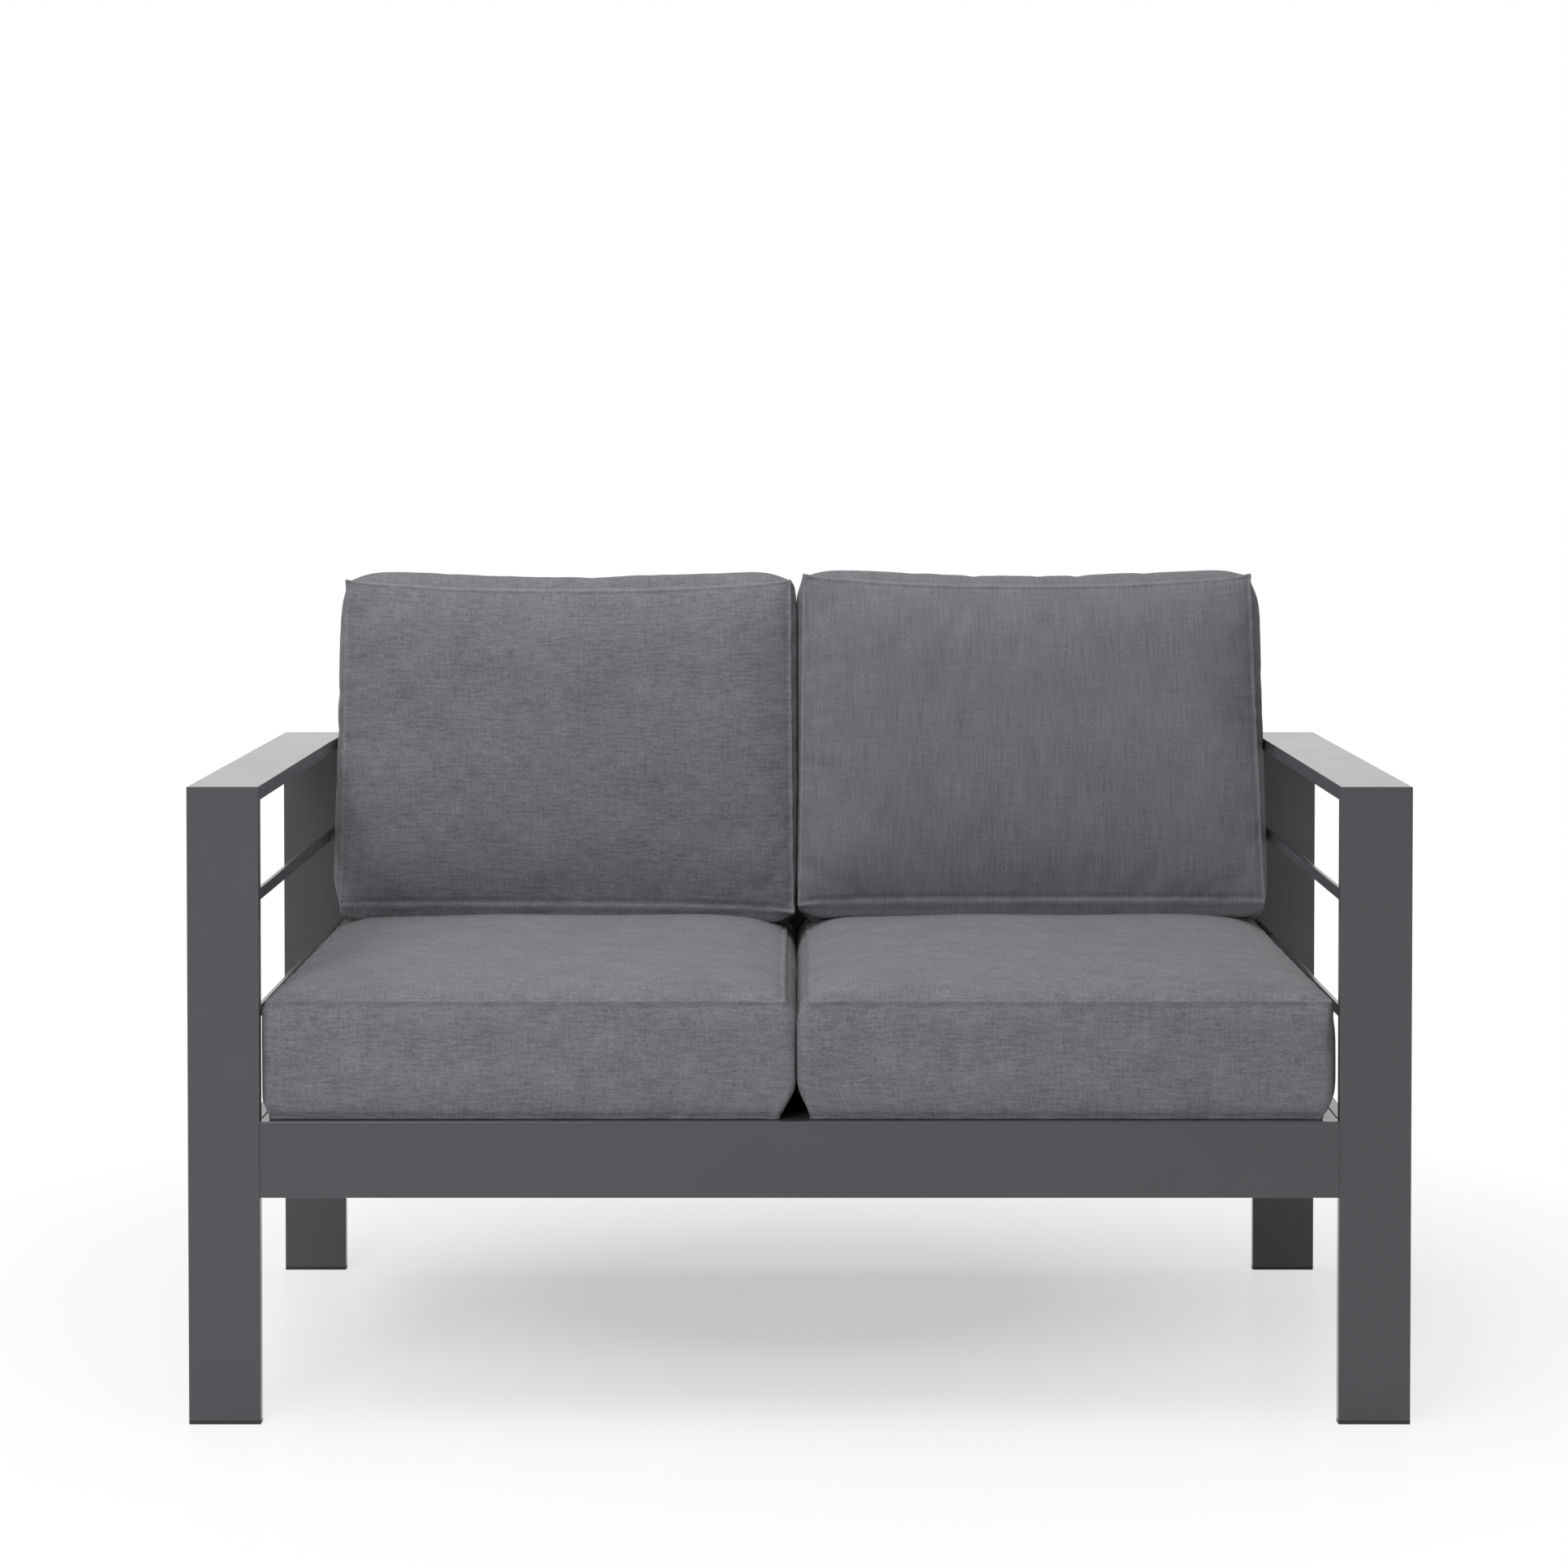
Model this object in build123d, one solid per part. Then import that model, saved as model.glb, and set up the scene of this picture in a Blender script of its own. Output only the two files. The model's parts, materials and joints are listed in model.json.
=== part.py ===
"""Patio loveseat: flat aluminium tube frame, slatted seat deck, backrest panel and four loose cushions.

Millimetres, +Z up, front towards -Y. The origin is on the floor below the middle of the whole object.
"""

from build123d import *
import math
import os

# Overall sizes of the frame
frame_width = 1275.0
frame_depth = 725.0
arm_height = 667.0
deck_height = 317.5

# Flat tube of the legs, the armrests and the backrest's top rail
flat_width = 75.0
flat_thickness = 15.0
flat_wall = 1.8
flat_corner = 1.2

# Seat rails
rail_height = 80.0
rail_depth = 20.0
rail_wall = 1.8

# Thin flat bars in the arms and the backrest
bar_height = 12.0
bar_thickness = 5.0
bar_corner = 0.8

# Seat deck: end members, slats and the beam below them
end_member_width = 20.0
end_member_height = 60.0
slat_count = 9
slat_width = 50.0
slat_thickness = 12.0
slat_wall = 1.5
beam_width = 40.0
beam_height = 40.0

# Backrest panel
end_post_width = 15.0
centre_post_width = 60.0

# Foot caps
foot_flange = 4.0
foot_insert = 25.0
foot_insert_wall = 2.0
foot_insert_play = 0.15

# Fasteners: button head bolts, washers and blind rivet nuts
bolt_diameter = 6.0
bolt_head_diameter = 10.5
bolt_head_height = 3.3
socket_across = 4.0
socket_depth = 2.0
bolt_grip = 8.0
washer_diameter = 12.0
washer_thickness = 1.2
nut_diameter = 9.0
nut_length = 10.0
nut_collar_diameter = 11.0
nut_collar_length = 1.5
hole_play = 0.3
thread_play = 0.05
deck_bolt_count = 4
deck_bolt_margin = 87.5
deck_bolt_drop = 35.0

# Room between loose pieces that rest on each other
rest_gap = 0.3
crown_clearance = 0.5

# Cushion fabric: cover wall and the room around the foam
cover_wall = 3.0
foam_play = 0.3

# Seat cushions
seat_front_setback = 6.0
seat_rear_gap = 29.0
seat_boxing = 123.0
seat_crown = 20.0
seat_crown_reach = 190.0
seat_corner = 22.0
seat_draw_in = 3.5
seat_edge_round = 26.0
seat_edge_tuck = 14.0
seat_side_gap = 2.5
seat_middle_gap = 2.0

# Back cushions
back_height = 392.0
back_boxing = 95.0
back_front_crown = 26.0
back_rear_crown = 15.0
back_crown_reach = 120.0
back_corner = 20.0
back_draw_in = 5.0
back_top_draw_in = 11.0
back_bulge = 6.0
back_lean = 9.0

# Zips
zip_end_margin = 49.5
zip_tape_width = 24.0
zip_tape_thickness = 1.2
zip_recess = 1.6
zip_coil_width = 4.0
zip_coil_height = 1.0
slider_length = 12.0
slider_width = 9.0
slider_height = 2.4
slider_play = 0.2
slider_wall = 1.0
pull_length = 18.0
pull_width = 5.0
pull_thickness = 0.9
zip_front_share = 0.7

# How the thin bars divide the opening between the deck and the armrests: share of its height
upper_bar_share = 0.6936
lower_bar_share = 0.3244

# How the crown climbs from the seam: share of its reach inwards, share of its height
crown_shares = ((0.0, 0.0), (0.04, 0.36), (0.12, 0.7), (0.28, 0.9), (0.55, 0.975), (1.0, 1.0))

# How fast a section's corners grow as it shrinks up the crown, and the most of its half width they may take
corner_growth_share = 0.3
largest_corner_share = 0.9

# How the seat cushion's lower edge turns under: share of the tuck, share of the edge's height
edge_round_shares = ((1.0, 0.0), (0.42, 0.2), (0.12, 0.55), (0.0, 1.0))

# How the back cushion's boxing swells between its seams: share of the bulge, share of the boxing
bulge_shares = ((0.0, 0.0), (0.7, 0.18), (1.0, 0.5), (0.7, 0.82), (0.0, 1.0))

# Places worked out from the sizes above
inner_half = frame_width / 2 - flat_width
outer_half = frame_width / 2
front_y = -frame_depth / 2
rear_y = frame_depth / 2
arm_inner_y = rear_y - flat_thickness
rail_bottom = deck_height - rail_height
deck_inner_y = frame_depth / 2 - rail_depth
end_member_x = inner_half - end_member_width
bar_x = inner_half + flat_thickness / 2
panel_front_y = rear_y - rail_depth
bar_y = rear_y - rail_depth / 2
arm_opening = arm_height - flat_thickness - deck_height
upper_bar_height = deck_height + upper_bar_share * arm_opening
lower_bar_height = deck_height + lower_bar_share * arm_opening
bar_heights = {"upper": upper_bar_height, "lower": lower_bar_height}
deck_bolt_pitch = 2 * (deck_inner_y - deck_bolt_margin) / (deck_bolt_count - 1)
cushion_width = inner_half - seat_side_gap - seat_middle_gap / 2
seat_depth = frame_depth - rail_depth - seat_front_setback - seat_rear_gap
zip_length = cushion_width - 2 * zip_end_margin
sides = {"left": -1, "right": 1}
parts = {}


def tube(low, high, axis, wall, corner):
    """Rectangular tube along one axis that fills the box from low to high; solid where the wall is zero."""
    span = [b - a for a, b in zip(low, high)]
    middle = [(a + b) / 2 for a, b in zip(low, high)]
    plane, across, up, along = {
        "x": (Plane.YZ, span[1], span[2], span[0]),
        "y": (Plane.XZ, span[0], span[2], span[1]),
        "z": (Plane.XY, span[0], span[1], span[2]),
    }[axis]
    profile = RectangleRounded(across, up, corner)
    if wall > 0:
        profile = profile - Rectangle(across - 2 * wall, up - 2 * wall)
    return Pos(*middle) * extrude(plane * profile, amount=along / 2, both=True)


def mirrored(low_x, high_x, side):
    """The pair of x values on the given side, lower one first."""
    return sorted((side * low_x, side * high_x))


def rod(radius, start, length, direction):
    """Cylinder along X from a start point, towards +X or -X."""
    middle_x = start[0] + direction * length / 2
    return Pos(middle_x, start[1], start[2]) * Rot(0, 90, 0) * Cylinder(radius, length)


def bolt(point, grip, direction):
    """Button head bolt along X: the head's underside sits one washer off the point."""
    head_seat = point[0] - direction * washer_thickness
    seat = (head_seat, point[1], point[2])
    head = rod(bolt_head_diameter / 2, seat, bolt_head_height, -direction)
    rim = head.edges().filter_by(GeomType.CIRCLE).sort_by(Axis.X)
    head = fillet(rim[0] if direction > 0 else rim[-1], bolt_head_height / 2)
    shank = rod(bolt_diameter / 2, seat, washer_thickness + grip + bolt_grip, direction)
    socket_face = Plane(
        origin=(head_seat - direction * bolt_head_height, point[1], point[2]),
        z_dir=(direction, 0, 0),
    )
    socket = extrude(
        socket_face * RegularPolygon(socket_across / 2, 6, major_radius=False), amount=socket_depth
    )
    return head + shank - socket


def washer(point, direction):
    """Washer along X that lies on the point, on the side away from the bolt's end."""
    ring = rod(washer_diameter / 2, point, washer_thickness, -direction)
    return ring - rod(bolt_diameter / 2 + hole_play, point, washer_thickness, -direction)


def rivet_nut(point, wall, direction):
    """Blind rivet nut along X, flush with the point, with its collar swelled behind the wall."""
    behind = (point[0] + direction * wall, point[1], point[2])
    body = rod(nut_diameter / 2, point, nut_length, direction)
    collar = rod(nut_collar_diameter / 2, behind, nut_collar_length, direction)
    return body + collar - rod(bolt_diameter / 2 + thread_play, point, nut_length, direction)


def deck_bolt_points(side):
    """Where the deck's bolts enter the end member on one side."""
    first = -(deck_bolt_count - 1) / 2 * deck_bolt_pitch
    height = deck_height - deck_bolt_drop
    return [(side * end_member_x, first + i * deck_bolt_pitch, height) for i in range(deck_bolt_count)]


def back_bolt_points(side):
    """Where the backrest's bolts enter the end post on one side."""
    heights = ((deck_height + lower_bar_height) / 2, (lower_bar_height + upper_bar_height) / 2)
    leg_middle_y = rear_y - flat_thickness / 2
    return [(side * (inner_half - end_post_width), leg_middle_y, height) for height in heights]


def holes_through(points, radius, length, side):
    """Straight holes along X, outwards from each point."""
    return [rod(radius, point, length, side) for point in points]


def make_arm(name, side):
    """Legs, armrest, side rail, side bars and foot caps of one arm."""
    low_x, high_x = mirrored(inner_half, outer_half, side)
    front_mitre = Plane(origin=(0, front_y, arm_height), z_dir=(0, 1, 1))
    rear_mitre = Plane(origin=(0, rear_y, arm_height), z_dir=(0, -1, 1))
    leg_spans = {"front": (front_y, front_y + flat_thickness), "rear": (arm_inner_y, rear_y)}
    mitres = {"front": front_mitre, "rear": rear_mitre}
    nut_hole = nut_diameter / 2 + thread_play
    for place, (low_y, high_y) in leg_spans.items():
        leg = tube((low_x, low_y, foot_flange), (high_x, high_y, arm_height), "z", flat_wall, flat_corner)
        leg = split(leg, bisect_by=mitres[place], keep=Keep.BOTTOM)
        if place == "rear":
            starts = [(side * inner_half, y, z) for _, y, z in back_bolt_points(side)]
            leg = leg - holes_through(starts, nut_hole, flat_wall, side)
        parts[f"{place}_leg_{name}"] = leg
        parts[f"foot_cap_{place}_{name}"] = foot_cap((low_x, low_y), (high_x, high_y))
    low = (low_x, front_y, arm_height - flat_thickness)
    high = (high_x, rear_y, arm_height)
    armrest = tube(low, high, "y", flat_wall, flat_corner)
    armrest = split(armrest, bisect_by=front_mitre, keep=Keep.TOP)
    parts[f"armrest_{name}"] = split(armrest, bisect_by=rear_mitre, keep=Keep.TOP)
    rail_x = mirrored(inner_half, inner_half + flat_thickness, side)
    low = (rail_x[0], -arm_inner_y, rail_bottom)
    high = (rail_x[1], arm_inner_y, deck_height)
    rail = tube(low, high, "y", rail_wall, flat_corner)
    starts = [(side * inner_half, y, z) for _, y, z in deck_bolt_points(side)]
    parts[f"side_rail_{name}"] = rail - holes_through(starts, nut_hole, rail_wall, side)
    for level, height in bar_heights.items():
        low = (side * bar_x - bar_thickness / 2, -arm_inner_y, height - bar_height / 2)
        high = (side * bar_x + bar_thickness / 2, arm_inner_y, height + bar_height / 2)
        parts[f"side_bar_{level}_{name}"] = tube(low, high, "y", 0, bar_corner)


def foot_cap(low, high):
    """Plastic cap under one leg: a flange as wide as the tube and a hollow insert inside it."""
    flange = tube((*low, 0), (*high, foot_flange), "z", 0, flat_corner)
    inset = flat_wall + foot_insert_play
    insert = tube(
        (low[0] + inset, low[1] + inset, foot_flange),
        (high[0] - inset, high[1] - inset, foot_flange + foot_insert),
        "z",
        foot_insert_wall,
        flat_corner,
    )
    return flange + insert


def make_deck():
    """Front and rear rails, end members, slats and the beam."""
    rail_spans = {"front": (front_y, front_y + rail_depth), "rear": (rear_y - rail_depth, rear_y)}
    for place, (low_y, high_y) in rail_spans.items():
        low = (-inner_half, low_y, rail_bottom)
        high = (inner_half, high_y, deck_height)
        parts[f"{place}_rail"] = tube(low, high, "x", rail_wall, flat_corner)
    for name, side in sides.items():
        low_x, high_x = mirrored(end_member_x, inner_half, side)
        member = tube(
            (low_x, -deck_inner_y, deck_height - end_member_height),
            (high_x, deck_inner_y, deck_height),
            "y",
            rail_wall,
            flat_corner,
        )
        holes = holes_through(deck_bolt_points(side), bolt_diameter / 2 + hole_play, end_member_width, side)
        parts[f"deck_end_{name}"] = member - holes
    slat_bottom = deck_height - slat_thickness
    slat_pitch = 2 * end_member_x / (slat_count + 1)
    for i in range(slat_count):
        centre_x = -end_member_x + (i + 1) * slat_pitch
        low = (centre_x - slat_width / 2, -deck_inner_y, slat_bottom)
        high = (centre_x + slat_width / 2, deck_inner_y, deck_height)
        parts[f"seat_slat_{i + 1}"] = tube(low, high, "y", slat_wall, flat_corner)
    parts["deck_beam"] = tube(
        (-end_member_x, -beam_width / 2, slat_bottom - beam_height),
        (end_member_x, beam_width / 2, slat_bottom),
        "x",
        rail_wall,
        flat_corner,
    )


def make_backrest():
    """Top rail, posts and thin bars of the backrest panel."""
    panel_top = arm_height - flat_width
    low = (-inner_half, panel_front_y, panel_top)
    high = (inner_half, rear_y, arm_height)
    parts["back_top_rail"] = tube(low, high, "x", flat_wall, flat_corner)
    low = (-centre_post_width / 2, panel_front_y, deck_height)
    high = (centre_post_width / 2, rear_y, panel_top)
    parts["back_centre_post"] = tube(low, high, "z", flat_wall, flat_corner)
    for name, side in sides.items():
        low_x, high_x = mirrored(inner_half - end_post_width, inner_half, side)
        low = (low_x, panel_front_y, deck_height)
        high = (high_x, rear_y, panel_top)
        holes = holes_through(back_bolt_points(side), bolt_diameter / 2 + hole_play, end_post_width, side)
        parts[f"back_end_post_{name}"] = tube(low, high, "z", flat_wall, flat_corner) - holes
        low_x, high_x = mirrored(centre_post_width / 2, inner_half - end_post_width, side)
        for level, height in bar_heights.items():
            low = (low_x, bar_y - bar_thickness / 2, height - bar_height / 2)
            high = (high_x, bar_y + bar_thickness / 2, height + bar_height / 2)
            parts[f"back_bar_{level}_{name}"] = tube(low, high, "x", 0, bar_corner)


def make_fasteners():
    """Bolts, washers and rivet nuts of the deck and the backrest, each kind a group of separate solids."""
    groups = {
        "deck": (deck_bolt_points, end_member_width, rail_wall),
        "back": (back_bolt_points, end_post_width, flat_wall),
    }
    for name, (points_of, grip, wall) in groups.items():
        bolts, washers, nuts = [], [], []
        for side in sides.values():
            for point in points_of(side):
                bolts.append(bolt(point, grip, side))
                washers.append(washer(point, side))
                nuts.append(rivet_nut((side * inner_half, point[1], point[2]), wall, side))
        parts[f"{name}_bolts"] = Compound(bolts)
        parts[f"{name}_washers"] = Compound(washers)
        parts[f"{name}_rivet_nuts"] = Compound(nuts)


def outline(half_x, low_y, high_y, corner, draws, height):
    """Closed outline at a height: four sides, each drawn in by its own amount, and four round corners.

    draws gives the amounts for the sides at low y, high x, high y and low x.
    """
    corners = [(-half_x, low_y), (half_x, low_y), (half_x, high_y), (-half_x, high_y)]
    inward = [(0, 1), (-1, 0), (0, -1), (1, 0)]
    cut = corner * (1 - math.sqrt(0.5))
    edges = []
    for i, (x, y) in enumerate(corners):
        next_x, next_y = corners[(i + 1) % 4]
        here, after = inward[i], inward[(i + 1) % 4]
        start = (x - after[0] * corner, y - after[1] * corner, height)
        end = (next_x + after[0] * corner, next_y + after[1] * corner, height)
        middle = ((x + next_x) / 2 + here[0] * draws[i], (y + next_y) / 2 + here[1] * draws[i], height)
        edges.append(ThreePointArc(start, middle, end) if draws[i] > 0 else Line(start, end))
        turn = (next_x + cut * (here[0] + after[0]), next_y + cut * (here[1] + after[1]), height)
        turn_end = (next_x + corner * here[0], next_y + corner * here[1], height)
        edges.append(ThreePointArc(end, turn, turn_end))
    return Wire(edges)


def pillow(size, inset):
    """Box cushion that lies on its rear face, shrunk all round by the inset.

    Its seams are parallel to XY, its width is along X and its lower side is at y = 0.
    """

    def section(shrink, height, swell=0):
        half_x = size["width"] / 2 - inset - shrink + swell
        low_y = inset + shrink
        high_y = size["length"] - inset - shrink + swell
        largest = largest_corner_share * min(half_x, (high_y - low_y) / 2)
        corner = min(size["corner"] + shrink * corner_growth_share, largest)
        return outline(half_x, low_y, high_y, corner, size["draws"], height)

    def crown(rise, seam, upward):
        climb = [
            section(reach * size["crown_reach"], seam + upward * height * (rise - inset))
            for reach, height in crown_shares
        ]
        return Solid.make_loft(climb, ruled=True)

    solid = crown(size["front_crown"], size["boxing"], 1)
    if size["rear_crown"] > 0:
        solid = solid + crown(size["rear_crown"], 0, -1)
        swelled = [
            section(0, share * size["boxing"], swell * size["bulge"]) for swell, share in bulge_shares
        ]
        return solid + Solid.make_loft(swelled, ruled=True)
    turned = [
        section(tuck * size["edge_tuck"], inset + share * (size["edge_round"] - inset))
        for tuck, share in edge_round_shares
    ]
    turned.append(section(0, size["boxing"]))
    return solid + Solid.make_loft(turned, ruled=True)


def make_cushion(kind, name, side, size, place, zip_plane):
    """Cover, foam core, zip and zip slider of one cushion, built lying down and then put in its place."""
    cover = pillow(size, 0) - pillow(size, cover_wall)
    recess = Box(zip_length, zip_tape_width, zip_recess, align=(Align.CENTER, Align.CENTER, Align.MAX))
    tape_floor = Pos(0, 0, -zip_recess)
    tape_top = zip_tape_thickness - zip_recess
    on_floor = (Align.CENTER, Align.CENTER, Align.MIN)
    tape = tape_floor * Box(zip_length, zip_tape_width, zip_tape_thickness, align=on_floor)
    coil = Pos(0, 0, tape_top) * Box(zip_length, zip_coil_width, zip_coil_height, align=on_floor)
    slider_x = side * (zip_length - slider_length) / 2
    slider_bottom = Pos(slider_x, 0, tape_top + slider_play)
    body = slider_bottom * Box(slider_length, slider_width, slider_height, align=on_floor)
    body = fillet(body.edges().filter_by(Axis.Z), slider_wall)
    channel_width = zip_coil_width + 2 * slider_play
    channel = slider_bottom * Box(slider_length, channel_width, zip_coil_height, align=on_floor)
    pull_reach = (slider_length + pull_length) / 2
    pull_low = tape_top + slider_play + slider_height - pull_thickness
    pull = Pos(slider_x + side * (pull_reach - slider_wall), 0, pull_low) * Box(
        pull_length, pull_width, pull_thickness, align=on_floor
    )
    pull = fillet(pull.edges().filter_by(Axis.Z), slider_wall)
    on_zip = Location(zip_plane)
    pieces = {
        "cover": cover - on_zip * recess,
        "foam": pillow(size, cover_wall + foam_play),
        "zip": on_zip * (tape + coil),
        "zip_slider": on_zip * (body - channel + pull),
    }
    for piece, solid in pieces.items():
        parts[f"{kind}_{piece}_{name}"] = place * solid


def back_base():
    """Where the back cushion's lower rear seam lies, on the seat's crown and against the top rail."""
    lean = math.radians(back_lean)
    seat_seam = deck_height + rest_gap + seat_boxing
    seat_rear = front_y + seat_front_setback + seat_depth
    seam_y_at_rail = panel_front_y - rest_gap - back_rear_crown / math.cos(lean)
    base_z = seat_seam + seat_crown / 2
    base_y = seam_y_at_rail - (arm_height - base_z) * math.tan(lean)
    climbs = []
    for (reach, rise), (next_reach, next_rise) in zip(crown_shares, crown_shares[1:]):
        near_y = seat_rear - reach * seat_crown_reach
        far_y = seat_rear - next_reach * seat_crown_reach
        y = min(near_y, base_y)
        if y < far_y:
            continue
        share = (near_y - y) / (near_y - far_y)
        height = seat_seam + seat_crown * (rise + share * (next_rise - rise))
        climbs.append(height - (base_y - y) * math.tan(lean))
    return base_y, max(climbs) + crown_clearance


def make_cushions():
    """Two seat cushions on the deck and two back cushions on them."""
    seat = {
        "width": cushion_width,
        "length": seat_depth,
        "boxing": seat_boxing,
        "front_crown": seat_crown,
        "rear_crown": 0,
        "crown_reach": seat_crown_reach,
        "corner": seat_corner,
        "draws": (seat_draw_in, seat_draw_in, 0, seat_draw_in),
        "edge_round": seat_edge_round,
        "edge_tuck": seat_edge_tuck,
    }
    back = {
        "width": cushion_width - 2 * back_bulge,
        "length": back_height,
        "boxing": back_boxing,
        "front_crown": back_front_crown,
        "rear_crown": back_rear_crown,
        "crown_reach": back_crown_reach,
        "corner": back_corner,
        "draws": (0, back_draw_in, back_top_draw_in, back_draw_in),
        "bulge": back_bulge,
    }
    seat_zip = Plane(
        origin=(0, seat_depth, (seat_edge_round + seat_boxing) / 2), x_dir=(1, 0, 0), z_dir=(0, 1, 0)
    )
    back_zip = Plane(origin=(0, 0, zip_front_share * back_boxing), x_dir=(1, 0, 0), z_dir=(0, -1, 0))
    base_y, base_z = back_base()
    for name, side in sides.items():
        middle_x = side * (inner_half - seat_side_gap - cushion_width / 2)
        seat_place = Pos(middle_x, front_y + seat_front_setback, deck_height + rest_gap)
        make_cushion("seat", name, side, seat, seat_place, seat_zip)
        back_place = Pos(middle_x, base_y, base_z) * Rot(90 - back_lean, 0, 0)
        make_cushion("back", name, side, back, back_place, back_zip)


def write_parts():
    """One STEP file for each node."""
    os.makedirs("parts", exist_ok=True)
    for name, solid in parts.items():
        solid.label = name
        export_step(solid, f"parts/{name}.step")


for name, side in sides.items():
    make_arm(name, side)
make_deck()
make_backrest()
make_fasteners()
make_cushions()
write_parts()
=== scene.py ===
"""Patio loveseat: a powder-coated aluminium frame, four loose box cushions with zips, and a pale studio.

Metres, +Z up, front towards -Y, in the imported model's own frame.
"""

import json
import math

import bpy
import numpy as np
from mathutils import Matrix, Vector, noise
from mathutils.bvhtree import BVHTree


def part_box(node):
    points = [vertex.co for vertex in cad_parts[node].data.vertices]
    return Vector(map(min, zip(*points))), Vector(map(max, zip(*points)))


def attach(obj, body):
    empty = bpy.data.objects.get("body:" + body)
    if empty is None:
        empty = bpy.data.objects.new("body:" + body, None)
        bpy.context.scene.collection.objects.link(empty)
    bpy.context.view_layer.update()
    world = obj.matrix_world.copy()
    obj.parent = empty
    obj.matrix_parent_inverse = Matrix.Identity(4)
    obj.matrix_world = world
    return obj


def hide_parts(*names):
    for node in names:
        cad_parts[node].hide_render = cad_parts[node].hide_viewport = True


bl_info = {
    "name": "Patio loveseat",
    "version": (1, 0, 0),
    "blender": (4, 5, 0),
    "location": "View3D > Sidebar > Loveseat",
    "description": "Finishes the loveseat's frame and makes its cushions, zips and studio",
    "category": "Object",
}

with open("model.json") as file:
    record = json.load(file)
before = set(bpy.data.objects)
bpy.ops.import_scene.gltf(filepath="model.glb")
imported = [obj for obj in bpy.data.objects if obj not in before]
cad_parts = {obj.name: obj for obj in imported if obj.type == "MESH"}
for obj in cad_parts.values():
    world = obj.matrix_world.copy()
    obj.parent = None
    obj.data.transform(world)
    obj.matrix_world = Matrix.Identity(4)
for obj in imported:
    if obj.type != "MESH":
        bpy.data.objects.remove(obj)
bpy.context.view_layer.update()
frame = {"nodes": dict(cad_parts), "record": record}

MM = 0.001
SIDES = {"left": -1, "right": 1}

# How the cushions lie, as the solids do
REST_GAP = 0.3 * MM
SEAT_CROWN = 20 * MM
BACK_BOXING = 95 * MM
BACK_REAR_CROWN = 15 * MM
BACK_LEAN = math.radians(9)

# The pairs of cushions meet a little left of the middle, where they were pushed together
MEETING_X = -2.9 * MM
MEETING_GAP = 0.3 * MM
MEETING_WAVE = 1.4 * MM
MEETING_WAVELENGTH = 110 * MM

# Where three seams meet, the corner stands out as a small ear, less to the side than up or down
EAR = 4 * MM
EAR_SHARPNESS = 40
EAR_SIDEWAYS = 0.5

# How close to a contact face the cloth starts to flatten
CONTACT_EASE = 2 * MM

# Distances of the first mesh rows from a seam, so that its groove has rows of its own, and the distance
# within which a point counts as on the seam
SEAM_ROWS = [0, 2.5 * MM, 6 * MM, 11 * MM, 18 * MM]
ON_SEAM = 0.1 * MM

# How far an even side of a seam is drawn in at its middle, how evenly drawn-in sides bow, how sharply the
# corners stop a side's swell, and the share of a crown that is its slow dome
SIDE_DRAW = 1 * MM
BOW_SHARPNESS = 2.4
HOLD_SHARPNESS = 1.3
CROWN_DOME = 0.2

# Sewing: half the width of a seam's ridge, where the grooves beside it lie and half their width, how wide
# puckers are and how far they reach, and how wide a panel's slow swells are and where they start
RIDGE_WIDTH = 1.5 * MM
GROOVE_PLACE = 4 * MM
GROOVE_WIDTH = 2 * MM
PUCKER_WIDTH = 14 * MM
PUCKER_REACH = 12 * MM
SWELL_WIDTH = 120 * MM
SWELL_START = 40 * MM

# Zips: the tape's face lies a little under the cover's flat boxing, and the coil stands on it
TAPE_RECESS = 0.4 * MM
TAPE_THICKNESS = 1 * MM
TAPE_WIDTH = 24 * MM
TAPE_BOTTOM = TAPE_RECESS + TAPE_THICKNESS / 2
ZIP_HEIGHT_ON_BACK = 66.5 * MM
COIL_PITCH = 2.2 * MM
COIL_END = 4 * MM

# Underside of a back cushion: how far its cloth can roll down to the seat and how far forward the roll is
# deepest, over what height and what length at the ends it fades, over what length beside the zip the filling
# grows, and over what height the droop of the lower seam fades
ROLL_DEPTH = 20 * MM
ROLL_SKEW = 0.7
ROLL_HEIGHT = 12 * MM
ROLL_ENDS = 28 * MM
FILL_RAMP = 20 * MM
DROOP_HEIGHT = 60 * MM

# Length over which Blender's wave texture repeats, at a scale of 1
WAVE_TURN = 2 * math.pi / 20

# A length that is nothing, but can divide
TINY = 1e-9

CAMERA_PLACE = (-1.58 * MM, -4099.7 * MM, 1017.3 * MM)

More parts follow.
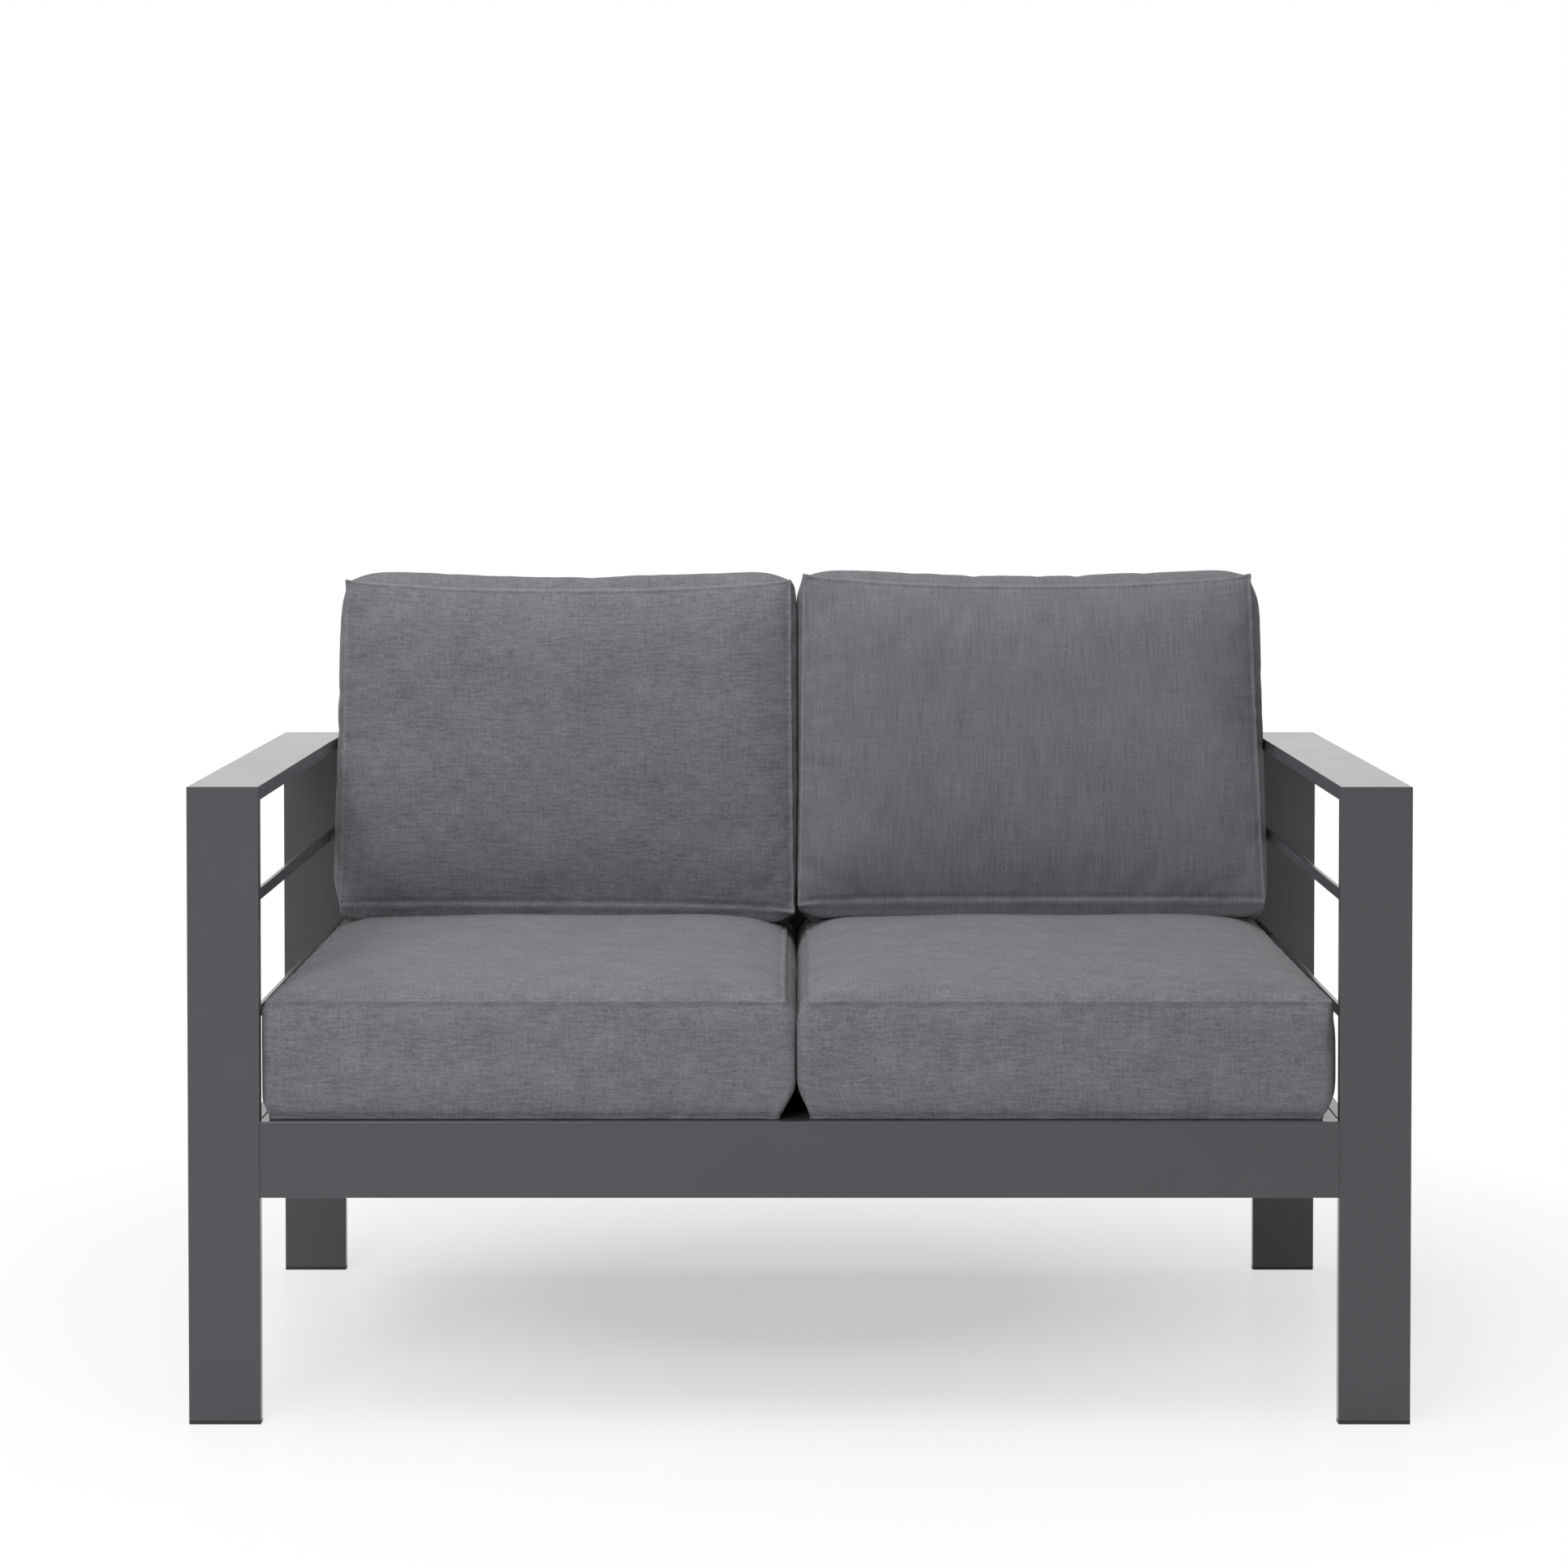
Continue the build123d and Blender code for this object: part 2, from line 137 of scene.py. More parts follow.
# Seams and swells of each cushion: the photograph shows that the four lie slightly apart from their ideal
# places. An x is a distance from the loveseat's middle plane, outwards. A pair is at the outer and the inner
# side of a seat cushion, and at the lower and the upper end of a back cushion's side.
SEAT_SHAPES = {
    "left": {
        "outer": 561.8 * MM,
        "seams": (4.5 * MM, 12 * MM),
        "seam_reach": (12 * MM, 24 * MM),
        "tucks": (9 * MM, 19 * MM),
        "tuck_reach": (20 * MM, 40 * MM),
    },
    "right": {
        "outer": 558.6 * MM,
        "seams": (3 * MM, 11 * MM),
        "seam_reach": (12 * MM, 24 * MM),
        "tucks": (13 * MM, 15 * MM),
        "tuck_reach": (28 * MM, 40 * MM),
    },
}
BACK_SHAPES = {
    "left": {
        "outer": (549 * MM, 548.5 * MM),
        "inner": (6.8 * MM, 10.8 * MM),
        "outer_swell": (16 * MM, 12 * MM),
        "inner_swell": (12 * MM, 17 * MM),
        "low_seam": 4 * MM,
        "height": 389 * MM,
        "top_draw": 11.5 * MM,
        "top_swell": 23 * MM,
        "droop": 10 * MM,
        "droop_length": 110 * MM,
    },
    "right": {
        "outer": (556.5 * MM, 545.5 * MM),
        "inner": (-1 * MM, 4.9 * MM),
        "outer_swell": (13 * MM, 16 * MM),
        "inner_swell": (9 * MM, 15 * MM),
        "low_seam": 9 * MM,
        "height": 391 * MM,
        "top_draw": 13 * MM,
        "top_swell": 17.5 * MM,
        "droop": 7 * MM,
        "droop_length": 55 * MM,
    },
}


def linear(code):
    """Linear colour of an sRGB hex value."""
    channels = [int(code[i : i + 2], 16) / 255 for i in (1, 3, 5)]
    bright = [c / 12.92 if c <= 0.04045 else ((c + 0.055) / 1.055) ** 2.4 for c in channels]
    return (*bright, 1)


def add_node(tree, kind, inputs=(), **settings):
    """Adds a node with its settings; inputs gives each socket a value or the socket that feeds it."""
    node = tree.nodes.new(kind)
    for name, value in settings.items():
        setattr(node, name, value)
    for socket, value in dict(inputs).items():
        if isinstance(value, bpy.types.NodeSocket):
            tree.links.new(value, node.inputs[socket])
        else:
            node.inputs[socket].default_value = value
    return node


def new_material(name, **values):
    """A material with its shader, whose sockets get values that are the same all over the surface."""
    material = bpy.data.materials.new(name)
    material.use_nodes = True
    tree = material.node_tree
    tree.nodes.clear()
    shader = add_node(tree, "ShaderNodeBsdfPrincipled")
    add_node(tree, "ShaderNodeOutputMaterial", {"Surface": shader.outputs[0]})
    for socket, value in values.items():
        shader.inputs[socket.replace("_", " ")].default_value = value
    return material, tree, shader


def mix_colour(tree, factor, first, second):
    """Socket of a colour between two others, each an sRGB hex value or a socket."""
    node = add_node(tree, "ShaderNodeMix", data_type="RGBA")
    tree.links.new(factor, node.inputs[0])
    for socket, value in ((6, first), (7, second)):
        if isinstance(value, str):
            node.inputs[socket].default_value = linear(value)
        else:
            tree.links.new(value, node.inputs[socket])
    return node.outputs[2]


def dress(nodes, material):
    """Gives CAD nodes a material."""
    for name in nodes:
        slots = frame["nodes"][name].data.materials
        slots.clear()
        slots.append(material)


def powder_coated_aluminium(settings):
    """Powder-coated aluminium: baked polyester coat, satin, with a faint orange peel.

    Seen along a face it mirrors the pale studio, as the real armrest tops do; seen square on it is dark.
    """
    material, tree, shader = new_material("powder_coated_aluminium", IOR=1.5)
    place = add_node(tree, "ShaderNodeTexCoord").outputs["Object"]
    # The peel of a real coat is about 1 mm across, drawn twice as coarse so that it shows
    peel = add_node(
        tree,
        "ShaderNodeTexNoise",
        {"Vector": place, "Scale": 1 / settings.peel_size, "Detail": 2, "Roughness": 0.4},
    )
    cloud = add_node(
        tree, "ShaderNodeTexNoise", {"Vector": place, "Scale": 1 / settings.cloud_size, "Detail": 3}
    )
    shade = mix_colour(tree, cloud.outputs[0], settings.dark_hex, settings.light_hex)
    gloss = add_node(tree, "ShaderNodeMapRange", {"Value": cloud.outputs[0], "To Min": 0.17, "To Max": 0.21})
    bump = add_node(
        tree, "ShaderNodeBump", {"Height": peel.outputs[0], "Strength": 0.12, "Distance": 0.2 * MM}
    )
    tree.links.new(shade, shader.inputs["Base Color"])
    tree.links.new(gloss.outputs[0], shader.inputs["Roughness"])
    tree.links.new(bump.outputs[0], shader.inputs["Normal"])
    return material


def moulded_polyethylene():
    """Moulded polyethylene of the foot caps: near black, with the dull grain of a sparked mould."""
    material, tree, shader = new_material("moulded_polyethylene", Roughness=0.55, IOR=1.5)
    place = add_node(tree, "ShaderNodeTexCoord").outputs["Object"]
    # The grain of a sparked mould is about 0.1 mm wide, drawn at 0.8 mm so that it shows
    grain = add_node(tree, "ShaderNodeTexNoise", {"Vector": place, "Scale": 1 / (0.8 * MM), "Detail": 3})
    shade = mix_colour(tree, grain.outputs[0], "#1B1B1D", "#29292B")
    bump = add_node(
        tree, "ShaderNodeBump", {"Height": grain.outputs[0], "Strength": 0.3, "Distance": 0.1 * MM}
    )
    tree.links.new(shade, shader.inputs["Base Color"])
    tree.links.new(bump.outputs[0], shader.inputs["Normal"])
    return material


def turned_stainless_steel():
    """Turned stainless steel of the bolts, washers and rivet nuts: fine rings that stretch the highlights."""
    material, tree, shader = new_material("turned_stainless_steel", Metallic=1.0)
    place = add_node(tree, "ShaderNodeTexCoord").outputs["Object"]
    # Turning marks are about 0.2 mm apart, drawn at 0.6 mm so that they show
    rings = add_node(
        tree, "ShaderNodeTexWave", {"Vector": place, "Scale": WAVE_TURN / (0.6 * MM), "Distortion": 2.0}
    )
    shade = mix_colour(tree, rings.outputs[1], "#B9BABC", "#CFD0D2")
    gloss = add_node(tree, "ShaderNodeMapRange", {"Value": rings.outputs[1], "To Min": 0.22, "To Max": 0.34})
    tree.links.new(shade, shader.inputs["Base Color"])
    tree.links.new(gloss.outputs[0], shader.inputs["Roughness"])
    return material


def die_cast_zinc():
    """Die-cast zinc of the zip sliders, lacquered dark: glossy, with spots worn to bare metal."""
    material, tree, shader = new_material("die_cast_zinc", IOR=1.5, Roughness=0.32)
    place = add_node(tree, "ShaderNodeTexCoord").outputs["Object"]
    wear = add_node(tree, "ShaderNodeTexNoise", {"Vector": place, "Scale": 1 / (3 * MM), "Detail": 4})
    bare = add_node(
        tree,
        "ShaderNodeMapRange",
        {"Value": wear.outputs[0], "From Min": 0.6, "From Max": 0.7, "To Min": 0.0, "To Max": 0.6},
    )
    shade = mix_colour(tree, bare.outputs[0], "#2E2E31", "#9A9B9E")
    tree.links.new(shade, shader.inputs["Base Color"])
    tree.links.new(bare.outputs[0], shader.inputs["Metallic"])
    return material


def extruded_nylon():
    """Extruded nylon of the zip's coil: dark grey with a waxy shine, each turn a little lighter or darker."""
    material, tree, shader = new_material("extruded_nylon", Roughness=0.38, IOR=1.53)
    place = add_node(tree, "ShaderNodeTexCoord").outputs["Object"]
    tone = add_node(tree, "ShaderNodeTexNoise", {"Vector": place, "Scale": 1 / (2 * MM), "Detail": 1})
    tree.links.new(mix_colour(tree, tone.outputs[0], "#303033", "#4A4A4E"), shader.inputs["Base Color"])
    return material


def woven_polyester():
    """Woven polyester of the zip's tapes: dark and matt, ribbed across their length."""
    material, tree, shader = new_material("woven_polyester", Roughness=0.9, IOR=1.45)
    place = add_node(tree, "ShaderNodeTexCoord").outputs["Object"]
    # Ribs of a real tape are about 0.7 mm apart, drawn at twice that so that they show
    ribs = add_node(
        tree,
        "ShaderNodeTexWave",
        {"Vector": place, "Scale": WAVE_TURN / (1.4 * MM), "Distortion": 0.4},
        bands_direction="X",
    )
    bump = add_node(
        tree, "ShaderNodeBump", {"Height": ribs.outputs[1], "Strength": 0.5, "Distance": 0.15 * MM}
    )
    tree.links.new(mix_colour(tree, ribs.outputs[1], "#38383B", "#4C4C50"), shader.inputs["Base Color"])
    tree.links.new(bump.outputs[0], shader.inputs["Normal"])
    return material


def bonded_thread():
    """Bonded polyester sewing thread of the zips: mid grey, with the twist's slight sparkle."""
    material, tree, shader = new_material("bonded_thread", Roughness=0.6, IOR=1.45)
    place = add_node(tree, "ShaderNodeTexCoord").outputs["Object"]
    twist = add_node(tree, "ShaderNodeTexNoise", {"Vector": place, "Scale": 1 / (0.8 * MM), "Detail": 1})
    tree.links.new(mix_colour(tree, twist.outputs[0], "#56565A", "#77777C"), shader.inputs["Base Color"])
    return material


def open_cell_foam():
    """Open-cell polyurethane foam of the cores: pale, dull and finely pitted."""
    material, tree, shader = new_material("open_cell_foam", Roughness=0.95)
    place = add_node(tree, "ShaderNodeTexCoord").outputs["Object"]
    # Cells of such foam are about 0.8 mm wide, drawn at twice that so that they show
    pits = add_node(tree, "ShaderNodeTexVoronoi", {"Vector": place, "Scale": 1 / (1.5 * MM)})
    bump = add_node(tree, "ShaderNodeBump", {"Height": pits.outputs[0], "Distance": 0.5 * MM})
    tree.links.new(mix_colour(tree, pits.outputs[0], "#CFC9B4", "#E4DFCE"), shader.inputs["Base Color"])
    tree.links.new(bump.outputs[0], shader.inputs["Normal"])
    return material


def woven_olefin(name, settings, slub_length, seam_shade_highlight_hex, turned=False):
    """Solution-dyed olefin, plain weave of slub yarn: grey heather, dull, with faint streaks along the weft.

    turned lays the weft upright instead of level. Along the seams the cloth is blended towards the seam tone:
    painted shade where that tone is darker than the cloth, a painted highlight where it is lighter.
    """
    dull = {"Specular_IOR_Level": 0.25, "Sheen_Weight": 0.12, "Sheen_Roughness": 0.5}
    material, tree, shader = new_material(name, Roughness=0.92, IOR=1.45, **dull)
    cloth = add_node(tree, "ShaderNodeUVMap", uv_map="cloth").outputs[0]
    if turned:
        turn = {"Vector": cloth, "Rotation": (0, 0, math.pi / 2)}
        cloth = add_node(tree, "ShaderNodeMapping", turn).outputs[0]

    def combine(operation, first, second):
        return add_node(tree, "ShaderNodeMath", {0: first, 1: second}, operation=operation).outputs[0]

    def streaks(length, thickness, detail, amount):
        stretch = {"Vector": cloth, "Scale": (1 / length, 1 / thickness, 1)}
        stretched = add_node(tree, "ShaderNodeMapping", stretch).outputs[0]
        look = {"Vector": stretched, "Scale": 1.0, "Detail": detail, "Roughness": 0.55}
        found = add_node(tree, "ShaderNodeTexNoise", look, noise_dimensions="2D").outputs[0]
        return combine("MULTIPLY", combine("SUBTRACT", found, 0.5), amount)

    thickness, heather = settings.slub_thickness, settings.heather
    if turned:
        # The upright yarns are finer and more even
        thickness, heather = thickness * 0.7, heather * 0.8
    weft = streaks(slub_length, thickness, 2, heather)
    tone = combine("ADD", weft, 0.5)
    # Slubs of the warp, single yarns of the weft, drawn about twice as wide as real ones, and slow clouds
    for pattern in (
        (thickness * 0.8, slub_length * 1.2, 1, heather * 0.5),
        (4 * MM, 1.6 * MM, 0, heather * 0.6),
        (70 * MM, 35 * MM, 2, heather * 0.5),
    ):
        tone = combine("ADD", tone, streaks(*pattern))
    shade = mix_colour(tree, tone, settings.dark_hex, settings.light_hex)
    # Painted light along the seams: within 0.8 mm of a seam the cloth is blended a fifth of the way towards
    # the seam tone, fading out by 2.2 mm
    seam = add_node(tree, "ShaderNodeAttribute", attribute_name="seam_distance").outputs["Fac"]
    painted_seam_light = add_node(
        tree,
        "ShaderNodeMapRange",
        {"Value": seam, "From Min": 0.8 * MM, "From Max": 2.2 * MM, "To Min": 0.2, "To Max": 0.0},
    )
    shade = mix_colour(tree, painted_seam_light.outputs[0], shade, seam_shade_highlight_hex)
    # Single threads, about 0.9 mm apart, are too fine to show. The slubs stand up from the cloth, and crossed
    # ripples, many threads wide, show how unevenly it lies.
    relief = combine("MULTIPLY", weft, 3)
    for direction in ("X", "Y"):
        wave = add_node(
            tree,
            "ShaderNodeTexWave",
            {"Vector": cloth, "Scale": WAVE_TURN / settings.ripple_spacing, "Distortion": 0.8},
            bands_direction=direction,
        )
        relief = combine("ADD", relief, combine("MULTIPLY", wave.outputs[1], 0.6))
    bump = add_node(tree, "ShaderNodeBump", {"Height": relief, "Strength": 0.3, "Distance": 0.35 * MM})
    tree.links.new(shade, shader.inputs["Base Color"])
    tree.links.new(bump.outputs[0], shader.inputs["Normal"])
    return material


def spaced(length, step):
    """Places from one seam to the other: a few rows close to each seam, then even steps."""
    inner = length - 2 * SEAM_ROWS[-1]
    count = max(2, round(inner / step))
    middle = [SEAM_ROWS[-1] + inner * i / count for i in range(1, count)]
    return np.array([*SEAM_ROWS, *middle, *(length - d for d in reversed(SEAM_ROWS))])


def eased(value, limit, side):
    """Keeps values on one side of a limit, and flattens them softly just before it."""
    room = side * (limit - value)
    flat = CONTACT_EASE * np.exp(np.minimum(room / CONTACT_EASE - 1, 0))
    return limit - side * np.where(room < CONTACT_EASE, flat, room)


def outline(left, right, ends, draws, radius):
    """A seam: the x of its left and right side, each at the lower and the upper end, and the y of both ends.

    draws says how far its lower, right, upper and left side are drawn in at their middle, and radius rounds
    its corners.
    """
    return [np.array(part, float) for part in (left, right, ends, draws, radius)]


def lay(u, v, seam):
    """Points inside a seam or on it: u and v run from -1 to 1 between its sides."""
    left, right, ends, draws, radius = seam
    hx, hy = (right - left).mean() / 2, (ends[1] - ends[0]) / 2
    x, y = abs(u) * hx, abs(v) * hy
    inward = np.minimum(hx - x, hy - y)
    arc = np.maximum(radius - inward, TINY)
    from_x, from_y = hx - inward - x, hy - inward - y
    turn = np.pi / 4 * (1 - np.minimum((from_x + from_y) / arc, 1))
    far = np.where(from_x <= from_y, np.cos(turn), np.sin(turn))
    high = np.where(from_x <= from_y, np.sin(turn), np.cos(turn))
    turned = from_x + from_y < arc
    u = np.where(turned, np.sign(u) * (hx - inward - arc + arc * far) / hx, u)
    v = np.where(turned, np.sign(v) * (hy - inward - arc + arc * high) / hy, v)
    rise = (v + 1) / 2
    left_x = left[0] + (left[1] - left[0]) * rise
    right_x = right[0] + (right[1] - right[0]) * rise
    x = left_x * (1 - u) / 2 + right_x * (1 + u) / 2
    y = ends[0] + (ends[1] - ends[0]) * rise
    bow_x, bow_y = 1 - abs(u) ** BOW_SHARPNESS, 1 - abs(v) ** BOW_SHARPNESS
    x = x - u * np.where(u > 0, draws[1], draws[3]) * bow_y
    y = y - v * np.where(v > 0, draws[2], draws[0]) * bow_x
    ear = EAR * abs(u * v) ** EAR_SHARPNESS
    return x + np.sign(u) * ear * EAR_SIDEWAYS, y + np.sign(v) * ear


def crown(u, v, half, height, shoulder):
    """Height of a filled panel over its seams: a quick shoulder, then a slow dome."""
    near_x, near_y = half[0] * (1 - abs(u)), half[1] * (1 - abs(v))
    rise = (1 - np.exp(-near_x / shoulder)) * (1 - np.exp(-near_y / shoulder))
    return height * rise * (1 - CROWN_DOME + CROWN_DOME * (1 - u**2) * (1 - v**2))


def ring(grid):
    """The border of a grid, once round, anticlockwise from its lower left corner."""
    return np.concatenate([grid[0, :-1], grid[:-1, -1], grid[-1, :0:-1], grid[:0:-1, 0]])


def cushion_mesh(name, form):
    """Box cushion that lies on its rear panel: front panel, boxing strip and rear panel, sewn together.

    form holds the outlines of the front seam, of the rear seam and of the boxing between them, the boxing's
    height, how far each side swells and how far the corners hold a swell back, how far up or down the boxing
    each seam draws it at the left and the right end, the crowns with their shoulder, and the mesh's step.
    """
    boxing = form["boxing"]
    left, right, ends = form["front"][:3]
    half = ((right - left).mean() / 2, (ends[1] - ends[0]) / 2)
    columns, rows = spaced(2 * half[0], form["step"]), spaced(2 * half[1], form["step"])
    bands = spaced(boxing, form["step"])
    u, v = np.meshgrid(columns / half[0] - 1, rows / half[1] - 1)
    count = u.size
    front = np.arange(count).reshape(u.shape)
    rear = front + count
    points = []
    for seam, base, height in (
        (form["front"], boxing, form["front_crown"]),
        (form["rear"], 0, -form["rear_crown"]),
    ):
        z = base + crown(u, v, half, height, form["shoulder"])
        points.append(np.stack([*lay(u, v, seam), z], -1).reshape(-1, 3))

    border_u, border_v = ring(u), ring(v)
    around_count = border_u.size
    swells = form["swells"]
    rise = (border_v + 1) / 2
    # The sides swell between the corners, where the seams hold them
    free_x = 1 - np.exp(-((half[1] * (1 - abs(border_v)) / form["hold"]) ** HOLD_SHARPNESS))
    free_y = 1 - np.exp(-((half[0] * (1 - abs(border_u)) / form["hold"]) ** HOLD_SHARPNESS))
    right_swell = swells["right"][0] * (1 - rise) + swells["right"][1] * rise
    left_swell = swells["left"][0] * (1 - rise) + swells["left"][1] * rise
    at_right, at_left = border_u > 1 - TINY, border_u < TINY - 1
    at_top, at_low = border_v > 1 - TINY, border_v < TINY - 1
    outward_x = np.where(at_right, right_swell, 0) - np.where(at_left, left_swell, 0)
    outward_y = np.where(at_top, swells["top"], 0) - np.where(at_low, swells["low"], 0)
    strips = [ring(rear)]
    edges = {part: np.stack(lay(border_u, border_v, form[part])) for part in ("front", "rear", "middle")}
    reach = {part: np.interp(border_u, (-1, 1), form[f"{part}_reach"]) for part in ("front", "rear")}
    for height in bands[1:-1]:
        near_front = np.maximum(0, 1 - (boxing - height) / reach["front"]) ** 2
        near_rear = np.maximum(0, 1 - height / reach["rear"]) ** form["rear_power"]
        between = 1 - near_front - near_rear
        x, y = edges["front"] * near_front + edges["rear"] * near_rear + edges["middle"] * between
        x, y = x + between * outward_x * free_x, y + between * outward_y * free_y
        strips.append(2 * count + np.arange(around_count) + around_count * (len(strips) - 1))
        points.append(np.stack([x, y, np.full(x.shape, height)], -1))
    strips.append(ring(front))
    points = np.concatenate(points)

    faces, uvs = [], []
    flat_x, flat_y = u * half[0], v * half[1]
    for grid, mirrored in ((front, False), (rear, True)):
        for j in range(grid.shape[0] - 1):
            for i in range(grid.shape[1] - 1):
                corners = [(j, i), (j, i + 1), (j + 1, i + 1), (j + 1, i)]
                if mirrored:
                    corners.reverse()
                faces.append([int(grid[c]) for c in corners])
                uvs.extend((flat_x[c], flat_y[c]) for c in corners)
    steps = np.linalg.norm(np.diff(points[np.append(strips[-1], strips[-1][0])], axis=0), axis=1)
    around = np.concatenate([[0], np.cumsum(steps)])
    for k in range(len(bands) - 1):
        low, high = float(bands[k]), float(bands[k + 1])
        for p in range(around_count):
            q = (p + 1) % around_count
            faces.append([int(strips[k][p]), int(strips[k][q]), int(strips[k + 1][q]), int(strips[k + 1][p])])
            uvs.extend([(around[p], low), (around[p + 1], low), (around[p + 1], high), (around[p], high)])
    piece = new_piece(name, points, faces)
    mesh = piece.data
    mesh.uv_layers.new(name="cloth").data.foreach_set("uv", np.array(uvs, np.float32).ravel())
    away = np.zeros(len(points), np.float32)
    away[: 2 * count] = np.tile(np.minimum(half[0] - abs(flat_x), half[1] - abs(flat_y)).ravel(), 2)
    for k, strip in enumerate(strips[1:-1], 1):
        away[strip] = min(bands[k], boxing - bands[k])
    mesh.attributes.new("seam_distance", "FLOAT", "POINT").data.foreach_set("value", away)
    return piece


def new_piece(name, points, faces):
    """A smooth-shaded mesh object in the scene."""
    mesh = bpy.data.meshes.new(name)
    mesh.from_pydata([tuple(p) for p in points], [], faces)
    mesh.shade_smooth()
    piece = bpy.data.objects.new(name, mesh)
    bpy.context.scene.collection.objects.link(piece)
    return piece


def read_points(mesh):
    """A mesh's points as an array."""
    points = np.zeros(len(mesh.vertices) * 3, np.float32)
    mesh.vertices.foreach_get("co", points)
    return points.reshape(-1, 3).astype(float)


def write_points(mesh, points):
    """Puts an array of points back into a mesh."""
    mesh.vertices.foreach_set("co", points.astype(np.float32).ravel())
    mesh.update()


def seam_distances(mesh):
    """Each point's distance from the nearest seam, along the cloth."""
    away = np.zeros(len(mesh.vertices), np.float32)
    mesh.attributes["seam_distance"].data.foreach_get("value", away)
    return away.astype(float)


def fill_cushions(pieces, settings):
    """Cloth simulation: the covers swell from inside while their seams hold.

    No point moves past the cap, so the result stays near the shape that the covers were cut to.
    """
    scene = bpy.context.scene
    starts = {}
    for piece in pieces:
        away = seam_distances(piece.data)
        sewn = piece.vertex_groups.new(name="sewn")
        sewn.add([int(i) for i in np.nonzero(away < ON_SEAM)[0]], 1.0, "REPLACE")
        cloth = piece.modifiers.new("cloth", "CLOTH")
        cloth.settings.quality = 4
        cloth.settings.mass = 0.3
        cloth.settings.use_pressure = True
        cloth.settings.uniform_pressure_force = settings.pressure
        cloth.settings.vertex_group_mass = "sewn"
        cloth.settings.effector_weights.gravity = 0
        cloth.settings.shrink_min = -settings.fullness
        cloth.collision_settings.use_collision = False
        cloth.point_cache.frame_start = 1
        cloth.point_cache.frame_end = settings.frames
        starts[piece] = read_points(piece.data)
    for number in range(1, settings.frames + 1):
        scene.frame_set(number)
    depsgraph = bpy.context.evaluated_depsgraph_get()
    for piece, start in starts.items():
        step = read_points(piece.evaluated_get(depsgraph).data) - start
        length = np.linalg.norm(step, axis=1, keepdims=True)
        # The filling's push fades out towards the cap instead of stopping dead at it
        step *= settings.cap / (settings.cap + length)
        piece.modifiers.clear()
        piece.vertex_groups.clear()
        write_points(piece.data, start + step)
    scene.frame_set(1)


def subdivide(piece):
    """One smooth subdivision, applied."""
    modifier = piece.modifiers.new("smooth", "SUBSURF")
    modifier.levels = modifier.render_levels = 1
    depsgraph = bpy.context.evaluated_depsgraph_get()
    mesh = bpy.data.meshes.new_from_object(
        piece.evaluated_get(depsgraph), preserve_all_data_layers=True, depsgraph=depsgraph
    )
    piece.modifiers.clear()
    piece.data = mesh
    mesh.name = piece.name


def sew(piece, settings):
    """Makes each seam a thin ridge, where its allowance stands up, between soft, faintly puckered grooves."""
    mesh = piece.data
    away = seam_distances(mesh)
    normals = np.zeros(len(mesh.vertices) * 3, np.float32)
    mesh.vertices.foreach_get("normal", normals)
    points = read_points(mesh)
    ridge = settings.seam_ridge * np.exp(-((away / RIDGE_WIDTH) ** 2))
    groove = -settings.seam_groove * np.exp(-(((away - GROOVE_PLACE) / GROOVE_WIDTH) ** 2))
    pucker = np.array([noise.noise(Vector(p) / PUCKER_WIDTH) for p in points])
    unevenness = np.array([noise.noise(Vector(p) / SWELL_WIDTH) for p in points])
    gathered = settings.pucker * pucker * np.exp(-away / PUCKER_REACH)
    slack = settings.unevenness * unevenness * np.minimum(away / SWELL_START, 1)
    points += normals.reshape(-1, 3) * (ridge + groove + gathered + slack)[:, None]
    write_points(mesh, points)


class FrameFinish(bpy.types.PropertyGroup):
    """Finish of the frame."""

    dark_hex: bpy.props.StringProperty(
        name="Dark tone",
        description="Darkest tone of the powder coat, as an sRGB hex value",
        default="#454449",
    )
    light_hex: bpy.props.StringProperty(
        name="Light tone",
        description="Lightest tone of the powder coat, as an sRGB hex value",
        default="#49484D",
    )
    peel_size: bpy.props.FloatProperty(
        name="Peel size", description="Width of the coat's orange peel", default=2 * MM, unit="LENGTH"
    )
    cloud_size: bpy.props.FloatProperty(
        name="Cloud size", description="Width of the coat's faint clouds", default=90 * MM, unit="LENGTH"
    )


class Cloth(bpy.types.PropertyGroup):
    """Fabric of the cushions."""

    dark_hex: bpy.props.StringProperty(
        name="Dark yarn", description="Tone of the dark yarn, as an sRGB hex value", default="#5C5C60"
    )
    light_hex: bpy.props.StringProperty(
        name="Light yarn", description="Tone of the light yarn, as an sRGB hex value", default="#838388"
    )
    slub_length: bpy.props.FloatProperty(
        name="Slub length", description="Length of a thick place in the yarn", default=20 * MM, unit="LENGTH"
    )
    slub_thickness: bpy.props.FloatProperty(
        name="Slub thickness", description="Width of a thick place in the yarn", default=3 * MM, unit="LENGTH"
    )
    ripple_spacing: bpy.props.FloatProperty(
        name="Ripple spacing",
        description="Distance between the soft ripples of the weave",
        default=11.31 * MM,
        unit="LENGTH",
    )
    heather: bpy.props.FloatProperty(
        name="Heather", description="How far the yarns' tones lie apart", default=0.9, min=0, max=4
    )


